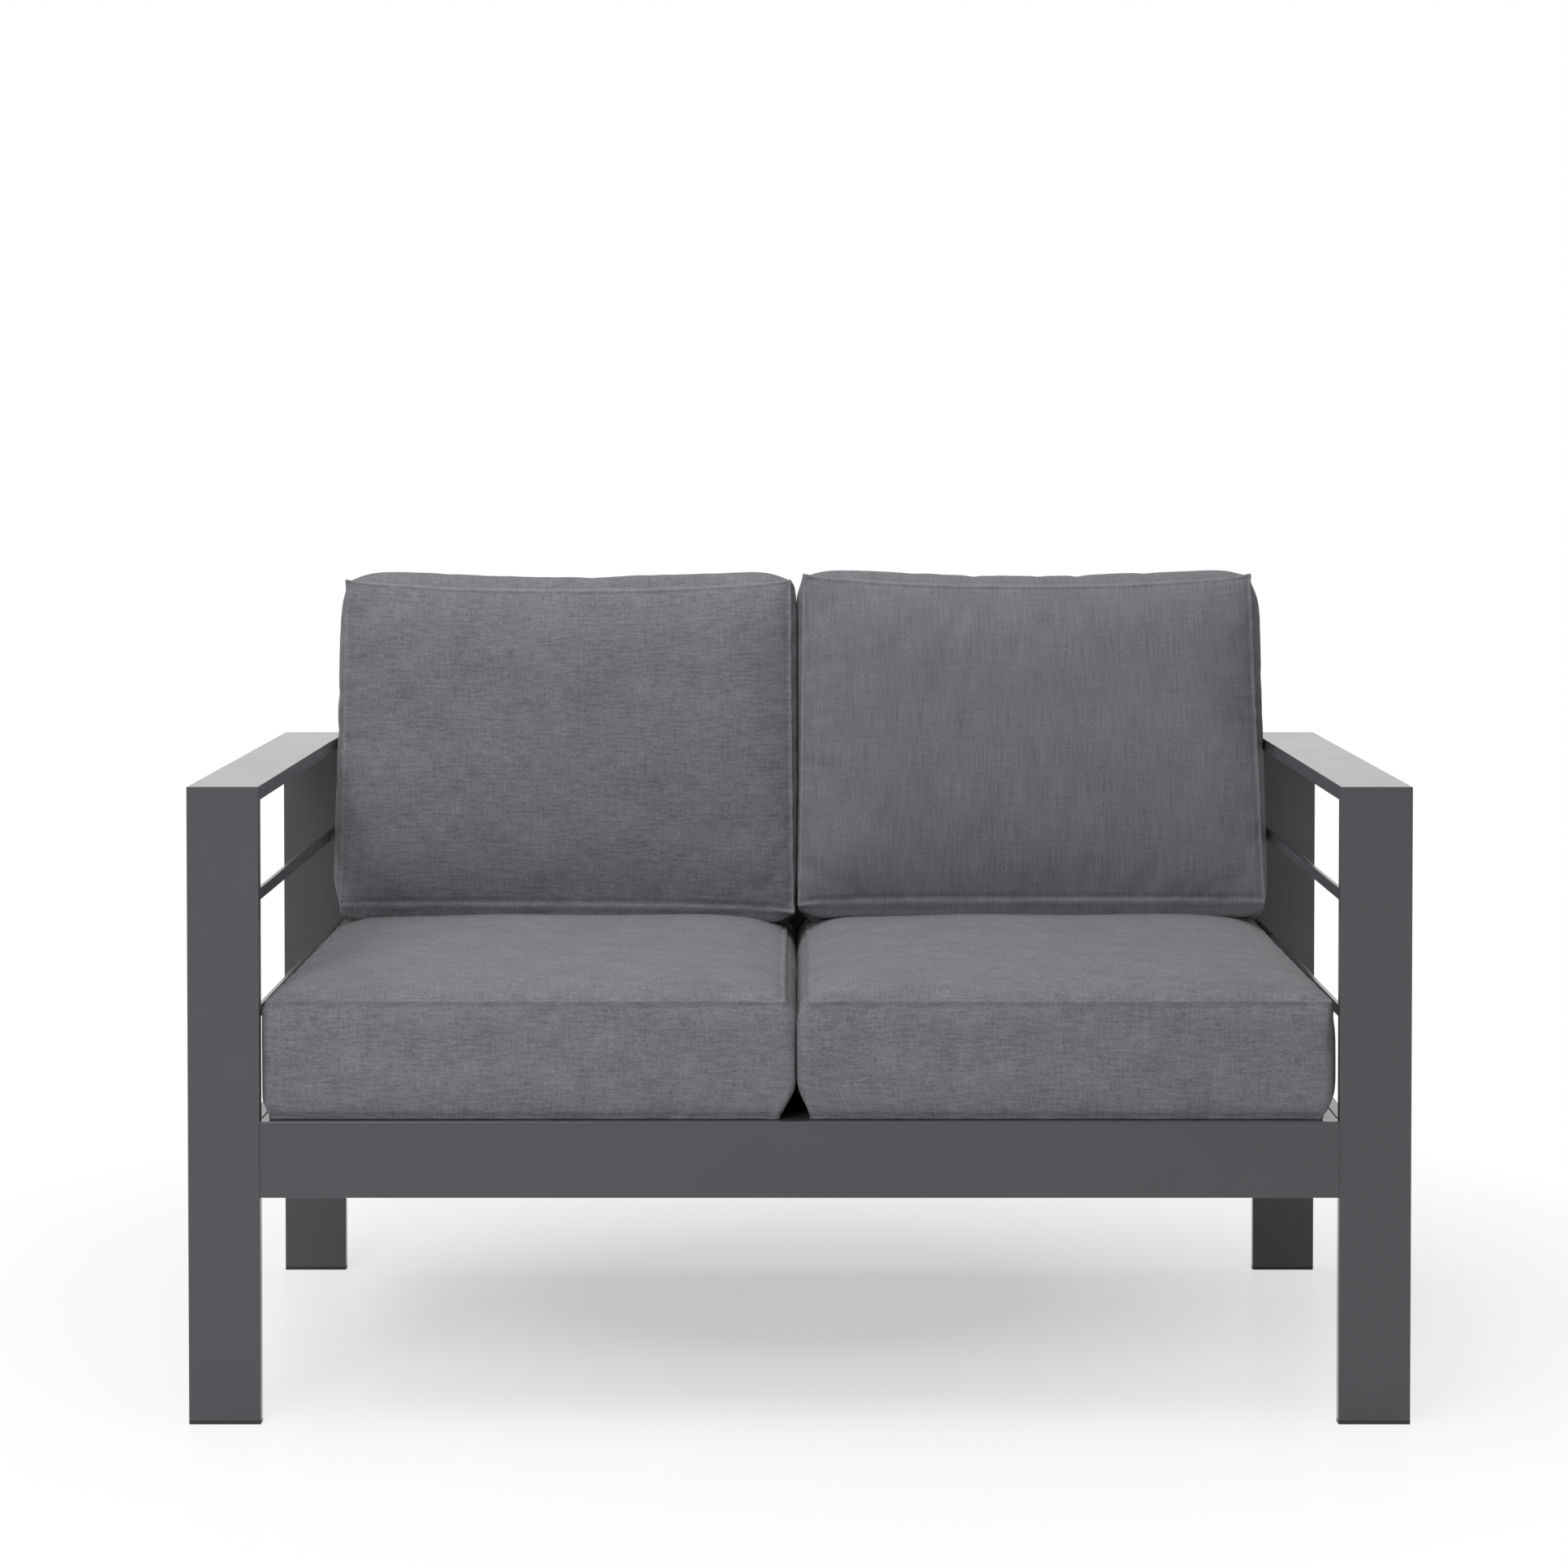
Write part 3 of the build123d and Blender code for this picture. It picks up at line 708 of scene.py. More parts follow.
class Filling(bpy.types.PropertyGroup):
    """Filling and sewing of the cushions."""

    start: bpy.props.FloatProperty(
        name="Start", description="Share of the crowns that the covers are cut to before filling", default=0.8
    )
    pressure: bpy.props.FloatProperty(
        name="Pressure", description="Pressure of the filling on the cover", default=4, min=0
    )
    fullness: bpy.props.FloatProperty(
        name="Fullness", description="Share by which the cover is cut larger than its seams", default=0.01
    )
    frames: bpy.props.IntProperty(
        name="Frames", description="Steps of the cloth simulation", default=20, min=1
    )
    cap: bpy.props.FloatProperty(
        name="Cap", description="How far a point of the cover may move", default=9 * MM, unit="LENGTH"
    )
    seam_ridge: bpy.props.FloatProperty(
        name="Seam ridge", description="Height of the ridge at a seam", default=1.1 * MM, unit="LENGTH"
    )
    seam_groove: bpy.props.FloatProperty(
        name="Seam groove", description="Depth of the grooves beside a seam", default=0.9 * MM, unit="LENGTH"
    )
    pucker: bpy.props.FloatProperty(
        name="Pucker", description="Height of the puckers along a seam", default=0.9 * MM, unit="LENGTH"
    )
    unevenness: bpy.props.FloatProperty(
        name="Unevenness", description="Height of the slow swells in a panel", default=2.5 * MM, unit="LENGTH"
    )


class Studio(bpy.types.PropertyGroup):
    """Camera, floor and light."""

    lens: bpy.props.FloatProperty(
        name="Lens", description="Focal length on a 36 mm sensor", default=82.77, unit="CAMERA"
    )
    tilt: bpy.props.FloatProperty(
        name="Tilt", description="How far the camera looks down", default=math.radians(1.576), subtype="ANGLE"
    )
    top_power: bpy.props.FloatProperty(
        name="Top light", description="Power of the large soft light overhead", default=97, subtype="POWER"
    )
    side_power: bpy.props.FloatProperty(
        name="Side light",
        description="Power of the soft light at the left front",
        default=53,
        subtype="POWER",
    )
    sky: bpy.props.FloatProperty(
        name="Sky", description="Strength of the even light from all round", default=0.2, min=0
    )
    room: bpy.props.FloatProperty(
        name="Room", description="How bright a gloss sees the room in front of the seat", default=0.32, min=0
    )


def seat_form(side, start):
    """Shape of a seat cushion, in its own frame: lying on the deck, +Y to the rear."""
    low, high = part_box(f"seat_cover_{side}")
    middle, depth = (low.x + high.x) / 2, high.y - low.y
    shape, sign = SEAT_SHAPES[side], SIDES[side]
    edges = sign * shape["outer"] - middle, MEETING_X + sign * MEETING_GAP - middle

    def box_outline(insets, ends, radius):
        outer, inner = edges[0] - sign * insets[0], edges[1] + sign * insets[1]
        left, right = min(outer, inner), max(outer, inner)
        return outline((left, left), (right, right), ends, (0, SIDE_DRAW, 0, SIDE_DRAW), radius)

    top_front, top_rear, tuck = 3 * MM, 4 * MM, 6 * MM
    return {
        "front": box_outline(shape["seams"], (top_front, depth - top_rear), 9 * MM),
        "rear": box_outline(shape["tucks"], (tuck, depth - tuck), 6 * MM),
        "middle": box_outline((0, 0), (0, depth - TAPE_BOTTOM), 13 * MM),
        "boxing": high.z - low.z - SEAT_CROWN,
        "step": 9 * MM,
        "swells": {"low": 0, "right": (0, 0), "top": 0, "left": (0, 0)},
        "hold": 26 * MM,
        "front_reach": shape["seam_reach"][:: -sign],
        "rear_reach": shape["tuck_reach"][:: -sign],
        "rear_power": 1.3,
        "front_crown": SEAT_CROWN * start,
        "rear_crown": 0,
        "shoulder": 13 * MM,
    }


def back_form(side, start):
    """Shape of a back cushion, in its own frame: lying on its rear panel, +Y to its top."""
    low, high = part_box(f"back_cover_{side}")
    middle = (low.x + high.x) / 2
    shape, sign = BACK_SHAPES[side], SIDES[side]
    # From the left side to the right one, of which either may be the outer one
    order = ("outer", "inner")[:: -sign]
    left, right = ([sign * x - middle for x in shape[key]] for key in order)
    left_swell, right_swell = (tuple(s * start for s in shape[f"{key}_swell"]) for key in order)
    top_swell = shape["top_swell"] * start
    low_seam, top, draw = shape["low_seam"], shape["low_seam"] + shape["height"], shape["top_draw"]
    front = outline(left, right, (low_seam, top), (0, SIDE_DRAW, draw, SIDE_DRAW), 3 * MM)
    # The rear panel ends a little lower than the front one, and its top is drawn in less
    rear = outline(left, right, (3 * MM, top - 2 * MM), (0, SIDE_DRAW, draw * 0.6, SIDE_DRAW), 4 * MM)
    return {
        "front": front,
        "rear": rear,
        "middle": [(a + b) / 2 for a, b in zip(front, rear)],
        "boxing": BACK_BOXING,
        "step": 8 * MM,
        "swells": {"low": 4 * MM, "right": right_swell, "top": top_swell, "left": left_swell},
        "hold": 17 * MM,
        "front_reach": (30 * MM, 30 * MM),
        "rear_reach": (30 * MM, 30 * MM),
        "rear_power": 2,
        "front_crown": 24 * MM * start,
        "rear_crown": BACK_REAR_CROWN * start,
        "shoulder": 24 * MM,
    }


def seat_place(side):
    """Where a seat cushion's own frame lies: its origin is in the middle of the solid's lower front edge."""
    low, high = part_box(f"seat_cover_{side}")
    return Matrix.Translation(((low.x + high.x) / 2, low.y, low.z))


def back_place(side):
    """Where a back cushion's own frame lies: on the seat's crown, leaning on the top rail."""
    low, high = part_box(f"back_cover_{side}")
    rail_low, rail_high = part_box("back_top_rail")
    seat_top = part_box(f"seat_cover_{side}")[1].z
    lift = rail_high.z - (seat_top - SEAT_CROWN / 2)
    rear = rail_low.y - REST_GAP - BACK_REAR_CROWN / math.cos(BACK_LEAN) - lift * math.tan(BACK_LEAN)
    tilt = Matrix.Rotation(math.pi / 2 - BACK_LEAN, 4, "X")
    return Matrix.Translation(((low.x + high.x) / 2, rear, low.z)) @ tilt


def beside_zip(points, side):
    """How far points of a back cushion, in its own frame, lie beyond the ends of its zip and slider."""
    low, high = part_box(f"back_cover_{side}")
    boxes = [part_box(f"back_{part}_{side}") for part in ("zip", "zip_slider")]
    ends = [SIDES[side] * (corner.x - (low.x + high.x) / 2) for box in boxes for corner in box]
    outward = SIDES[side] * points[:, 0]
    return np.maximum(outward - max(ends), min(ends) - outward)


def rest_on_seat(piece, side):
    """Rolls the cloth below a back cushion's lower front seam down to the seat, in the cushion's own frame.

    It also fills the underside beside the zip, and sinks the seam's inner end towards the gap between the
    seat cushions.
    """
    shape = BACK_SHAPES[side]
    points = read_points(piece.data)
    inner = points[:, 0].max() if side == "left" else points[:, 0].min()
    along = np.exp(-abs(points[:, 0] - inner) / shape["droop_length"])
    upward = np.exp(-np.maximum(points[:, 1], 0) / DROOP_HEIGHT)
    before_zip = ZIP_HEIGHT_ON_BACK + TAPE_WIDTH / 2
    forward = np.clip((points[:, 2] - before_zip) / (BACK_BOXING - before_zip), 0, 1)
    points[:, 1] -= shape["droop"] * along * upward * forward**2
    ends = np.minimum(points[:, 0] - points[:, 0].min(), points[:, 0].max() - points[:, 0])
    above_seam = points[:, 1] - shape["low_seam"]
    underside = np.clip(1 - above_seam / ROLL_HEIGHT, 0, 1) * np.clip(ends / ROLL_ENDS, 0, 1)
    roll = np.sin(np.pi * forward**ROLL_SKEW)
    fill = np.sin(np.pi * np.clip(points[:, 2] / BACK_BOXING, 0, 1)) ** ROLL_SKEW
    fill *= np.clip(beside_zip(points, side) / FILL_RAMP, 0, 1)
    points[:, 1] -= ROLL_DEPTH * np.maximum(roll, fill) * underside
    write_points(piece.data, points)


def flatten_at_zip(piece, side):
    """Flattens the lower boxing of a back cushion, still in its own frame, under the zip's tape."""
    points = read_points(piece.data)
    at_zip = points[:, 2] < ZIP_HEIGHT_ON_BACK + TAPE_WIDTH / 2 + 2 * MM
    at_zip &= beside_zip(points, side) < 1 * MM
    points[:, 1] = np.where(at_zip, eased(points[:, 1], TAPE_BOTTOM, -1), points[:, 1])
    write_points(piece.data, points)


def settle(piece, side, kind):
    """Flattens a cushion, in its place, where it touches its twin, the deck, an arm or the top rail."""
    sign = SIDES[side]
    points = read_points(piece.data)
    # Each cushion's soft side gives a little to the other's, so the line between them isn't quite straight
    wave = MEETING_WAVE * np.sin(2 * np.pi * points[:, 1] / MEETING_WAVELENGTH)
    points[:, 0] = eased(points[:, 0], MEETING_X + wave + sign * MEETING_GAP / 2, -sign)
    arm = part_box(f"armrest_{side}")
    inner = arm[1].x if side == "left" else arm[0].x
    points[:, 0] = eased(points[:, 0], inner - sign * REST_GAP, sign)
    low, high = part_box(f"{kind}_cover_{side}")
    if kind == "seat":
        points[:, 2] = np.maximum(points[:, 2], low.z)
        points[:, 1] = eased(points[:, 1], high.y - TAPE_BOTTOM, 1)
    else:
        rail_low, rail_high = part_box("back_top_rail")
        behind = eased(points[:, 1], rail_low.y - REST_GAP, 1)
        points[:, 1] = np.where(points[:, 2] < rail_high.z + CONTACT_EASE, behind, points[:, 1])
    write_points(piece.data, points)


def lift_off_seat(piece, seat):
    """Presses the underside of a back cushion in wherever it would sink into the seat cushion."""
    points = read_points(piece.data)
    tree = BVHTree.FromPolygons([v.co for v in seat.data.vertices], [p.vertices for p in seat.data.polygons])
    crown_top = max(v.co.z for v in seat.data.vertices)
    for point in points[points[:, 2] < crown_top + REST_GAP]:
        place = tree.ray_cast(Vector((point[0], point[1], 1)), Vector((0, 0, -1)))[0]
        if place is not None:
            point[2] = max(point[2], place.z + REST_GAP)
    write_points(piece.data, points)


def filled_covers(kind, form, settings):
    """The left and the right cover of a kind of cushion, filled."""
    pieces = {side: cushion_mesh(f"{kind}_cushion_{side}", form(side, settings.start)) for side in SIDES}
    fill_cushions(pieces.values(), settings)
    return pieces


def finish_cushion(piece, kind, side, material, settings):
    """Subdivides and sews a cover, puts it in its place, and lets it stand for its solids."""
    subdivide(piece)
    sew(piece, settings)
    piece.data.materials.append(material)
    if kind == "back":
        flatten_at_zip(piece, side)
    piece.data.transform(seat_place(side) if kind == "seat" else back_place(side))
    settle(piece, side, kind)
    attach(piece, f"{kind}_cushion_{side}")
    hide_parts(f"{kind}_cover_{side}", f"{kind}_foam_{side}")


def skin(rings, count, flipped=False):
    """Faces of a closed solid whose skin runs through rings of points, count in each."""
    faces = [
        [k * count + i, k * count + (i + 1) % count, (k + 1) * count + (i + 1) % count, (k + 1) * count + i]
        for k in range(rings - 1)
        for i in range(count)
    ]
    last = (rings - 1) * count
    faces += [list(reversed(range(count))), list(range(last, last + count))]
    return [[face[0], *face[:0:-1]] for face in faces] if flipped else faces


def tube(path, radius, sides=5):
    """Points and faces of a closed tube along a path."""
    path = np.array(path, float)
    along = np.gradient(path, axis=0)
    along /= np.linalg.norm(along, axis=1, keepdims=True)
    # No path here runs along this direction
    aside = np.cross(along, (0.1, 1, 0.05))
    aside /= np.linalg.norm(aside, axis=1, keepdims=True)
    up = np.cross(aside, along)
    turn = 2 * np.pi * np.arange(sides) / sides
    circle = np.cos(turn)[None, :, None] * aside[:, None] + np.sin(turn)[None, :, None] * up[:, None]
    return (path[:, None] + radius * circle).reshape(-1, 3), skin(len(path), sides, flipped=True)


def plate(edge, low, high, rounding):
    """Points and faces of a flat plate from y low to y high, with a rounded upper rim.

    edge is its outline, in x and z.
    """
    edge = np.array(edge, float)
    middle = edge.mean(0)
    outward = edge - middle
    reach = np.linalg.norm(outward, axis=1, keepdims=True)
    # The lower rim, then the rounding's rings, each with its share of the way inwards
    levels = [(low, 0.0)] + [(high - rounding * (1 - share**0.5), share) for share in (0.0, 0.3, 1.0)]
    rings = []
    for y, share in levels:
        shrunk = middle + outward * (1 - rounding * share / reach)
        rings.append(np.stack([shrunk[:, 0], np.full(len(edge), y), shrunk[:, 1]], -1))
    return np.concatenate(rings), skin(len(rings), len(edge))


def rounded_edge(x_low, x_high, z_low, z_high, radius):
    """Outline of a plate with rounded corners."""
    points = []
    left, right, low, high = x_low + radius, x_high - radius, z_low + radius, z_high - radius
    for corner, (x, z) in enumerate(((right, low), (right, high), (left, high), (left, low))):
        for i in range(5):
            angle = math.pi / 2 * (corner - 1 + i / 4)
            points.append((x + radius * math.cos(angle), z + radius * math.sin(angle)))
    return points


def assemble(name, parts, materials):
    """One piece from parts, each of points, faces and the number of its material."""
    points, faces, numbers = [], [], []
    for part_points, part_faces, number in parts:
        start = sum(len(p) for p in points)
        points.append(part_points)
        faces.extend([start + i for i in face] for face in part_faces)
        numbers.extend([number] * len(part_faces))
    piece = new_piece(name, np.concatenate(points), faces)
    for material in materials:
        piece.data.materials.append(material)
    piece.data.polygons.foreach_set("material_index", numbers)
    return piece


def zip_place(kind, side):
    """Frame of a zip: origin in its middle on the tape, +X to its closed outer end, +Y off the cover."""
    low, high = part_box(f"{kind}_zip_{side}")
    sign = SIDES[side]
    if kind == "seat":
        cover_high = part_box(f"seat_cover_{side}")[1]
        middle = ((low.x + high.x) / 2, cover_high.y - TAPE_RECESS, (low.z + high.z) / 2)
        return Matrix.Translation(middle) @ Matrix.Diagonal((sign, 1, sign, 1))
    place = back_place(side)
    across = (low.x + high.x) / 2 - place.translation.x
    under = Matrix.Translation((across, TAPE_RECESS, ZIP_HEIGHT_ON_BACK))
    return place @ under @ Matrix.Diagonal((sign, -1, -sign, 1))


def zip_parts(length):
    """Tapes, coil, stitches and stops of a zip."""
    parts = []
    half = length / 2
    stations = np.linspace(-half, half, 93)
    # Section of a tape: how far from the zip's middle and how high
    rim = np.array([(1, -1), (1, -0.1), (1.6, 0), (11.4, 0), (12, -0.3), (12, -1)]) * MM
    for hand in (-1, 1):
        points = []
        for x in stations:
            # The tape's outer part ripples faintly between the stitches
            wave = 0.12 * MM * math.sin(2 * math.pi * x / (17 * MM))
            points += [(x, y + wave * (z > 3 * MM), hand * z) for z, y in rim]
        parts.append((np.array(points), skin(len(stations), len(rim), flipped=hand < 0), 0))
        # Each half of the coil is a flattened helix that reaches past the middle, into the other half
        turns = int((length - 2 * COIL_END) / COIL_PITCH)
        angle = np.linspace(0, 2 * np.pi * turns, turns * 10 + 1) + (np.pi if hand > 0 else 0)
        x = (angle - angle[0]) / (2 * np.pi) * COIL_PITCH - turns * COIL_PITCH / 2
        z = hand * (1.1 * MM + 1.7 * MM * np.cos(angle))
        y = 0.1 * MM + 0.55 * MM * np.sin(angle)
        parts.append((*tube(np.stack([x, y, z], -1), 0.4 * MM), 1))
        # Each stitch dives into the tape at both ends
        stitch, gap = 3 * MM, 0.7 * MM
        for n in range(int(length / (stitch + gap))):
            x = -half + n * (stitch + gap) + gap
            z = hand * 9 * MM
            path = [(x, -0.3 * MM, z), (x + 0.4 * MM, 0.12 * MM, z), (x + stitch / 2, 0.2 * MM, z)]
            path += [(x + stitch - 0.4 * MM, 0.12 * MM, z), (x + stitch, -0.3 * MM, z)]
            parts.append((*tube(path, 0.28 * MM), 2))
    stop = 3.5 * MM
    for x_low in (-half, half - stop):
        edge = rounded_edge(x_low, x_low + stop, -3 * MM, 3 * MM, 0.8 * MM)
        parts.append((*plate(edge, -0.5 * MM, 1 * MM, 0.4 * MM), 3))
    return parts


def slider_parts(x_low, x_high):
    """Body, bridge and pull of a slider that spans x_low to x_high along its zip."""
    # The body narrows from its open end, where the coil's halves part, to the end with the pull
    body_high = x_low + 13 * MM
    shield = rounded_edge(x_low, body_high, -4.5 * MM, 4.5 * MM, 2.2 * MM)
    narrowed = [(x, z * (1 - 0.22 * (x - x_low) / (body_high - x_low))) for x, z in shield]
    parts = [(*plate(narrowed, 0.8 * MM, 1.6 * MM, 0.4 * MM), 0)]
    for z in (-3.9 * MM, 3.9 * MM):
        rail = rounded_edge(x_low + 1 * MM, body_high - 2 * MM, z - 0.5 * MM, z + 0.5 * MM, 0.3 * MM)
        parts.append((*plate(rail, 0.2 * MM, 0.9 * MM, 0.1 * MM), 0))
    # The bridge holds the pull's eye, and the pull has a raised grip
    arch = np.linspace(0, np.pi, 9)
    bridge = [(x_low + 7.5 * MM - 4 * MM * math.cos(a), 1.3 * MM + 0.8 * MM * math.sin(a), 0) for a in arch]
    parts.append((*tube(bridge, 0.5 * MM, 8), 0))
    eye = np.linspace(0, 2 * np.pi, 25)
    centre = x_low + 12 * MM
    loop = np.stack([centre + 2.8 * MM * np.cos(eye), np.full(25, 1.9 * MM), 2.2 * MM * np.sin(eye)], -1)
    parts.append((*tube(loop, 0.55 * MM, 8), 0))
    pull = rounded_edge(centre + 2.4 * MM, x_high, -2.9 * MM, 2.9 * MM, 1.6 * MM)
    parts.append((*plate(pull, 1.4 * MM, 2.5 * MM, 0.4 * MM), 0))
    grip = rounded_edge(centre + 5 * MM, x_high - 2 * MM, -1.5 * MM, 1.5 * MM, 1 * MM)
    parts.append((*plate(grip, 2.3 * MM, 2.6 * MM, 0.15 * MM), 0))
    return parts


def make_zips(kind):
    """The zips of a pair of cushions, each with its slider."""
    finishes = [woven_polyester(), extruded_nylon(), bonded_thread(), die_cast_zinc()]
    for side, sign in SIDES.items():
        place = zip_place(kind, side)
        low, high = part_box(f"{kind}_zip_{side}")
        piece = assemble(f"{kind}_cushion_zip_{side}", zip_parts(high.x - low.x), finishes)
        piece.data.transform(place)
        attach(piece, f"{kind}_cushion_{side}")
        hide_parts(f"{kind}_zip_{side}")
        middle = place.translation.x
        ends = sorted(sign * (corner.x - middle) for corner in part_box(f"{kind}_zip_slider_{side}"))
        slider = assemble(f"{kind}_cushion_slider_{side}", slider_parts(*ends), finishes[3:])
        slider.data.transform(place)
        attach(slider, f"{kind}_zip_slider_{side}")
        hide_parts(f"{kind}_zip_slider_{side}")


class LOVESEAT_OT_frame(bpy.types.Operator):
    """Gives the frame its powder coat, the feet their caps and the fasteners their steel"""

    bl_idname = "loveseat.frame"
    bl_label = "Finish the frame"

    def execute(self, context):
        caps = [n for n in frame["nodes"] if n.startswith("foot_cap")]
        steel = [n for n in frame["nodes"] if n.endswith(("_bolts", "_washers", "_rivet_nuts"))]
        members = frame["record"]["behaviour"]["bodies"]["frame"]
        coated = [n for n in members if n not in caps and n not in steel]
        dress(coated, powder_coated_aluminium(context.scene.loveseat_frame))
        dress(caps, moulded_polyethylene())
        dress(steel, turned_stainless_steel())
        dress([n for n in frame["nodes"] if "foam" in n], open_cell_foam())
        return {"FINISHED"}


class LOVESEAT_OT_seat_cushions(bpy.types.Operator):
    """Makes the two seat cushions"""

    bl_idname = "loveseat.seat_cushions"
    bl_label = "Make the seat cushions"

    def execute(self, context):
        settings, cloth = context.scene.loveseat_filling, context.scene.loveseat_cloth
        # The seats' seam tone is darker than the cloth: painted shade along each seam
        fabric = woven_olefin("woven_olefin_seat", cloth, cloth.slub_length, "#3C3C40")
        for side, piece in filled_covers("seat", seat_form, settings).items():
            finish_cushion(piece, "seat", side, fabric, settings)
        return {"FINISHED"}


class LOVESEAT_OT_back_cushions(bpy.types.Operator):
    """Makes the two back cushions, which rest on the seat cushions"""

    bl_idname = "loveseat.back_cushions"
    bl_label = "Make the back cushions"

    def execute(self, context):
        settings, cloth = context.scene.loveseat_filling, context.scene.loveseat_cloth
        # The backs' seam tone is lighter than the cloth: a painted highlight along each seam's ridge
        fabrics = {
            "left": woven_olefin("woven_olefin_back_left", cloth, cloth.slub_length, "#A6A6AB"),
            "right": woven_olefin("woven_olefin_back_right", cloth, 2.2 * cloth.slub_length, "#A6A6AB", True),
        }
        for side, piece in filled_covers("back", back_form, settings).items():
            rest_on_seat(piece, side)
            finish_cushion(piece, "back", side, fabrics[side], settings)
            lift_off_seat(piece, bpy.data.objects[f"seat_cushion_{side}"])
        return {"FINISHED"}


class LOVESEAT_OT_zips(bpy.types.Operator):
    """Makes the zips of the four cushions, with their sliders"""

    bl_idname = "loveseat.zips"
    bl_label = "Make the zips"

    def execute(self, context):
        for kind in ("seat", "back"):
            make_zips(kind)
        return {"FINISHED"}


class LOVESEAT_OT_studio(bpy.types.Operator):
    """Makes the floor, the light and the camera"""

    bl_idname = "loveseat.studio"
    bl_label = "Make the studio"

    def execute(self, context):
        settings = context.scene.loveseat_studio
        make_floor()
        make_light(settings)
        make_camera(settings)
        context.scene.view_settings.view_transform = "Standard"
        return {"FINISHED"}


def make_floor():
    """Pale floor that turns to pure white away from the loveseat, and keeps its soft shadow."""
    size = 30.0
    corners = [(-size, -size, 0), (size, -size, 0), (size, size, 0), (-size, size, 0)]
    floor = new_piece("studio_floor", corners, [(0, 1, 2, 3)])
    material = bpy.data.materials.new("painted_studio_floor")
    material.use_nodes = True
    tree = material.node_tree
    tree.nodes.clear()
    paint = add_node(tree, "ShaderNodeBsdfDiffuse", {"Color": linear("#F6F6F6")})
    sheen = add_node(tree, "ShaderNodeBsdfGlossy", {"Color": (1, 1, 1, 1), "Roughness": 0.18})
    surface = add_node(tree, "ShaderNodeMixShader", {0: 0.06, 1: paint.outputs[0], 2: sheen.outputs[0]})
    white = add_node(tree, "ShaderNodeEmission", {"Color": (1, 1, 1, 1), "Strength": 1.0})
    place = add_node(tree, "ShaderNodeNewGeometry").outputs["Position"]
    shadow_middle = (0, 0.25, 0)
    away = add_node(tree, "ShaderNodeVectorMath", {0: place, 1: shadow_middle}, operation="DISTANCE")
    fade = add_node(
        tree,
        "ShaderNodeMapRange",
        {"Value": away.outputs["Value"], "From Min": 0.25, "From Max": 1.25, "To Min": 0.47, "To Max": 1.0},
    )
    path = add_node(tree, "ShaderNodeLightPath")
    seen = add_node(
        tree,
        "ShaderNodeMath",
        {0: path.outputs["Is Camera Ray"], 1: path.outputs["Is Glossy Ray"]},
        operation="MAXIMUM",
    )
    amount = add_node(tree, "ShaderNodeMath", {0: seen.outputs[0], 1: fade.outputs[0]}, operation="MULTIPLY")
    mixed = add_node(
        tree, "ShaderNodeMixShader", {0: amount.outputs[0], 1: surface.outputs[0], 2: white.outputs[0]}
    )
    add_node(tree, "ShaderNodeOutputMaterial", {"Surface": mixed.outputs[0]})
    floor.data.materials.append(material)


def make_lamp(name, power, size, place, target):
    """A square soft light that faces a point."""
    lamp = bpy.data.lights.new(name, "AREA")
    lamp.energy = power
    lamp.size = size
    piece = bpy.data.objects.new(name, lamp)
    piece.location = place
    piece.rotation_euler = (Vector(target) - Vector(place)).to_track_quat("-Z", "Y").to_euler()
    bpy.context.scene.collection.objects.link(piece)


def make_light(settings):
    """Even light from all round, white where the camera sees it, and two large soft lamps.

    A gloss sees the white backdrop behind the seat and a dimmer room in front of it.
    """
    world = bpy.data.worlds.new("studio")
    world.use_nodes = True
    tree = world.node_tree
    tree.nodes.clear()
    path = add_node(tree, "ShaderNodeLightPath")
    direction = add_node(tree, "ShaderNodeTexCoord").outputs["Generated"]
    depth = add_node(tree, "ShaderNodeSeparateXYZ", {0: direction}).outputs["Y"]
    backdrop = add_node(
        tree,
        "ShaderNodeMapRange",
        {"Value": depth, "From Min": -0.7, "From Max": 0.3, "To Min": settings.room, "To Max": 1.0},
    )
    gloss = add_node(
        tree,
        "ShaderNodeMath",
        {0: path.outputs["Is Glossy Ray"], 1: path.outputs["Is Transmission Ray"]},
        operation="MAXIMUM",
    )
    strength = add_node(
        tree,
        "ShaderNodeMapRange",
        {"Value": gloss.outputs[0], "To Min": settings.sky, "To Max": backdrop.outputs[0]},
    )
    strength = add_node(
        tree,
        "ShaderNodeMapRange",
        {"Value": path.outputs["Is Camera Ray"], "To Min": strength.outputs[0], "To Max": 1.0},
    )
    light = add_node(tree, "ShaderNodeBackground", {"Color": (1, 1, 1, 1), "Strength": strength.outputs[0]})
    add_node(tree, "ShaderNodeOutputWorld", {"Surface": light.outputs[0]})
    bpy.context.scene.world = world
    make_lamp("top_light", settings.top_power, 3.2, (-0.7, -0.5, 3.6), (0, 0, 0.3))
    make_lamp("side_light", settings.side_power, 1.6, (-1.3, -3.4, 2.0), (0, 0, 0.5))


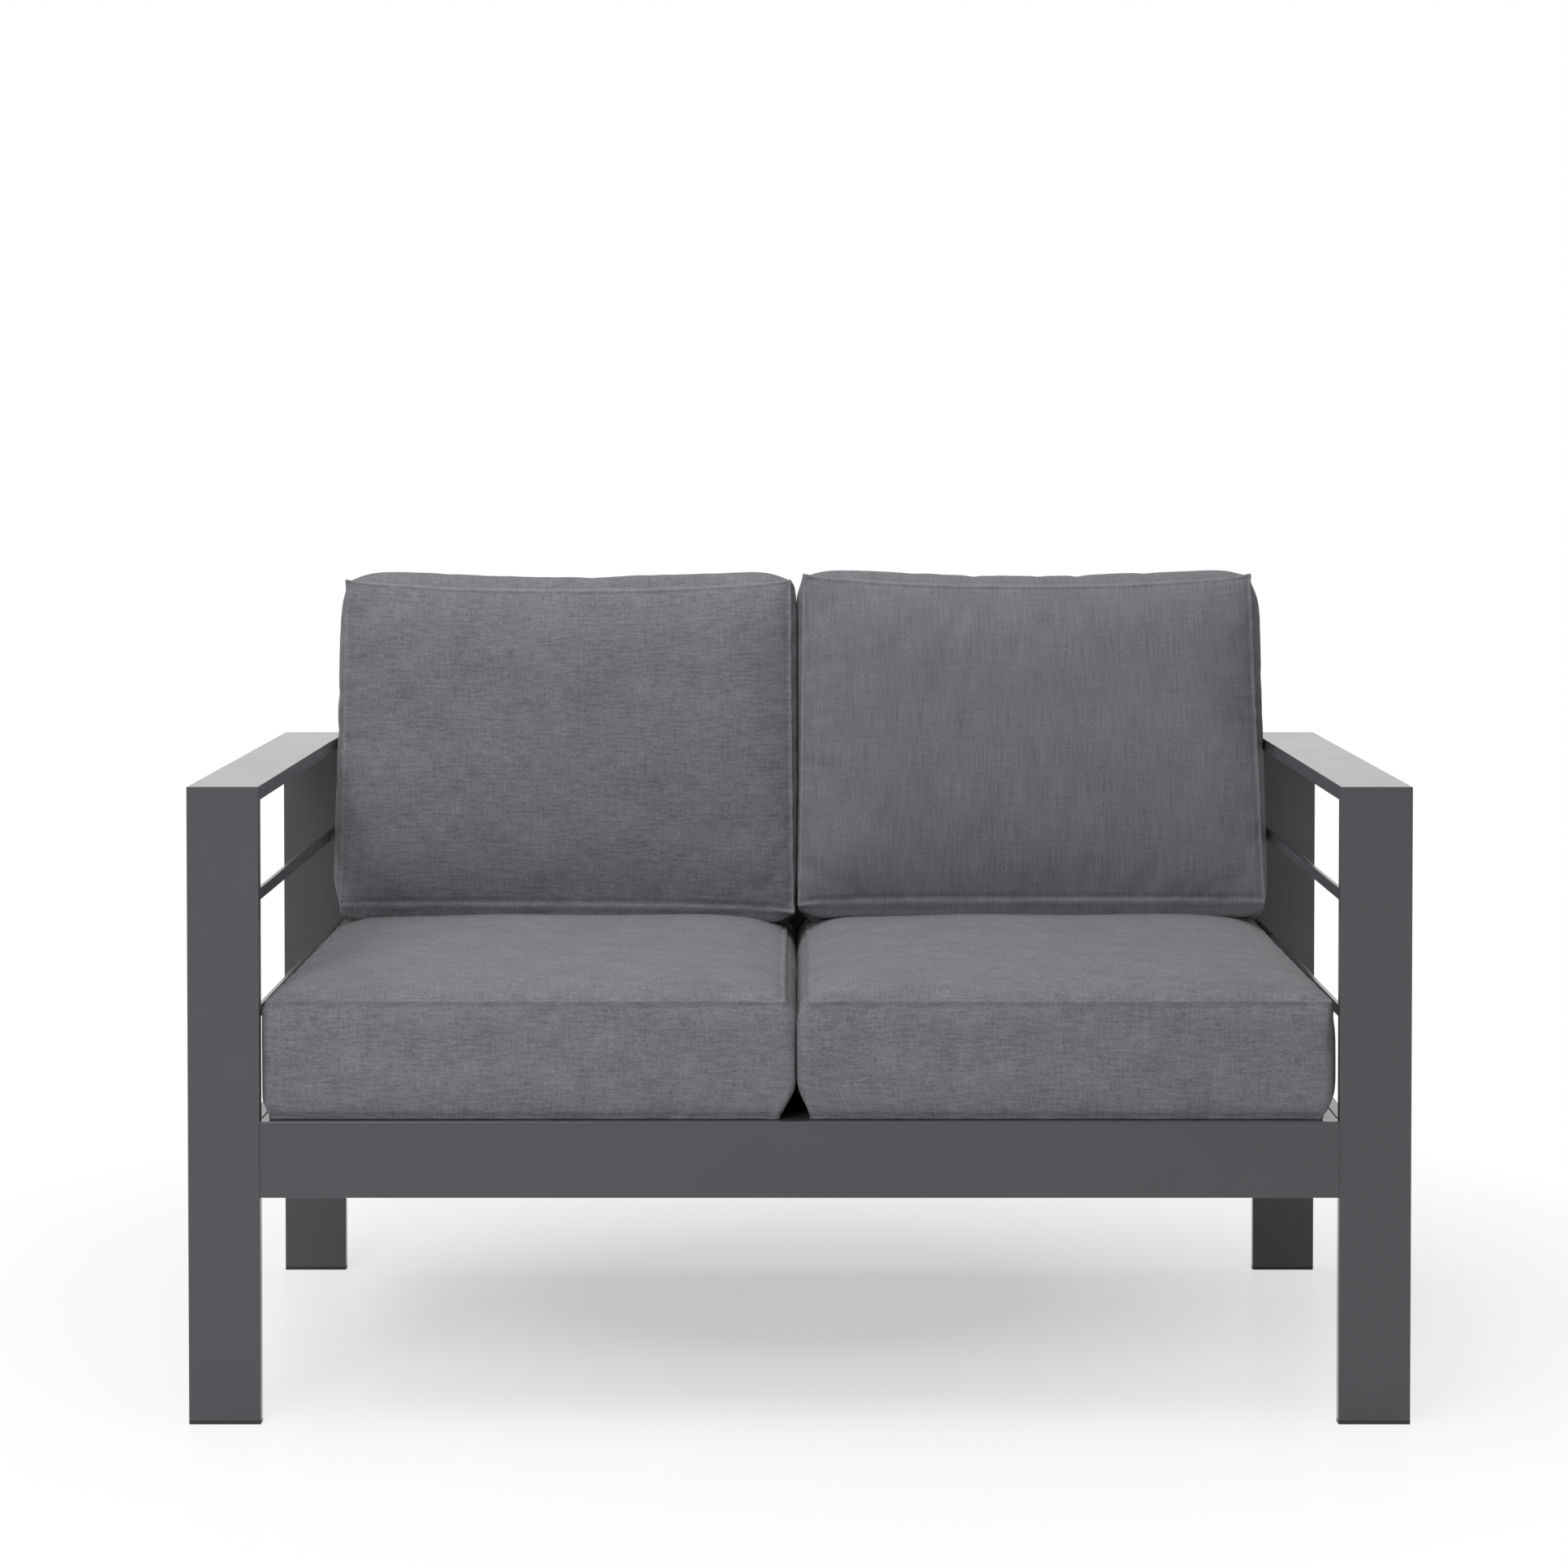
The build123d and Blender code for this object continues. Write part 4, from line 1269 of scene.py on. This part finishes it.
def make_camera(settings):
    """Camera at the photograph's place: in front, about 1 m high, looking a little down."""
    scene = bpy.context.scene
    data = bpy.data.cameras.new("camera")
    data.sensor_width = 36
    data.lens = settings.lens
    data.shift_x = -0.009
    data.shift_y = -0.15
    data.clip_end = 100
    camera = bpy.data.objects.new("camera", data)
    camera.location = CAMERA_PLACE
    camera.rotation_euler = (math.pi / 2 - settings.tilt, 0, 0)
    scene.collection.objects.link(camera)
    scene.camera = camera


class LOVESEAT_PT_panel(bpy.types.Panel):
    """Lists the loveseat's pieces in the sidebar"""

    bl_idname = "LOVESEAT_PT_panel"
    bl_label = "Loveseat"
    bl_space_type = "VIEW_3D"
    bl_region_type = "UI"
    bl_category = "Loveseat"

    def draw(self, context):
        for operator in OPERATORS:
            self.layout.operator(operator.bl_idname)
        for group in GROUPS:
            settings = getattr(context.scene, group)
            for name in GROUPS[group].__annotations__:
                self.layout.prop(settings, name)


OPERATORS = (
    LOVESEAT_OT_frame,
    LOVESEAT_OT_seat_cushions,
    LOVESEAT_OT_back_cushions,
    LOVESEAT_OT_zips,
    LOVESEAT_OT_studio,
)
GROUPS = {
    "loveseat_frame": FrameFinish,
    "loveseat_cloth": Cloth,
    "loveseat_filling": Filling,
    "loveseat_studio": Studio,
}


def register():
    """Registers the classes and hangs the settings on the scene."""
    for group in (*GROUPS.values(), *OPERATORS, LOVESEAT_PT_panel):
        bpy.utils.register_class(group)
    for name, group in GROUPS.items():
        setattr(bpy.types.Scene, name, bpy.props.PointerProperty(type=group))


def unregister():
    """Takes the settings and the classes away again."""
    for name in GROUPS:
        delattr(bpy.types.Scene, name)
    for group in reversed((*GROUPS.values(), *OPERATORS, LOVESEAT_PT_panel)):
        bpy.utils.unregister_class(group)


def main():
    """Builds the whole loveseat."""
    register()
    bpy.ops.loveseat.frame()
    bpy.ops.loveseat.seat_cushions()
    bpy.ops.loveseat.back_cushions()
    bpy.ops.loveseat.zips()
    bpy.ops.loveseat.studio()


if __name__ == "__main__":
    main()
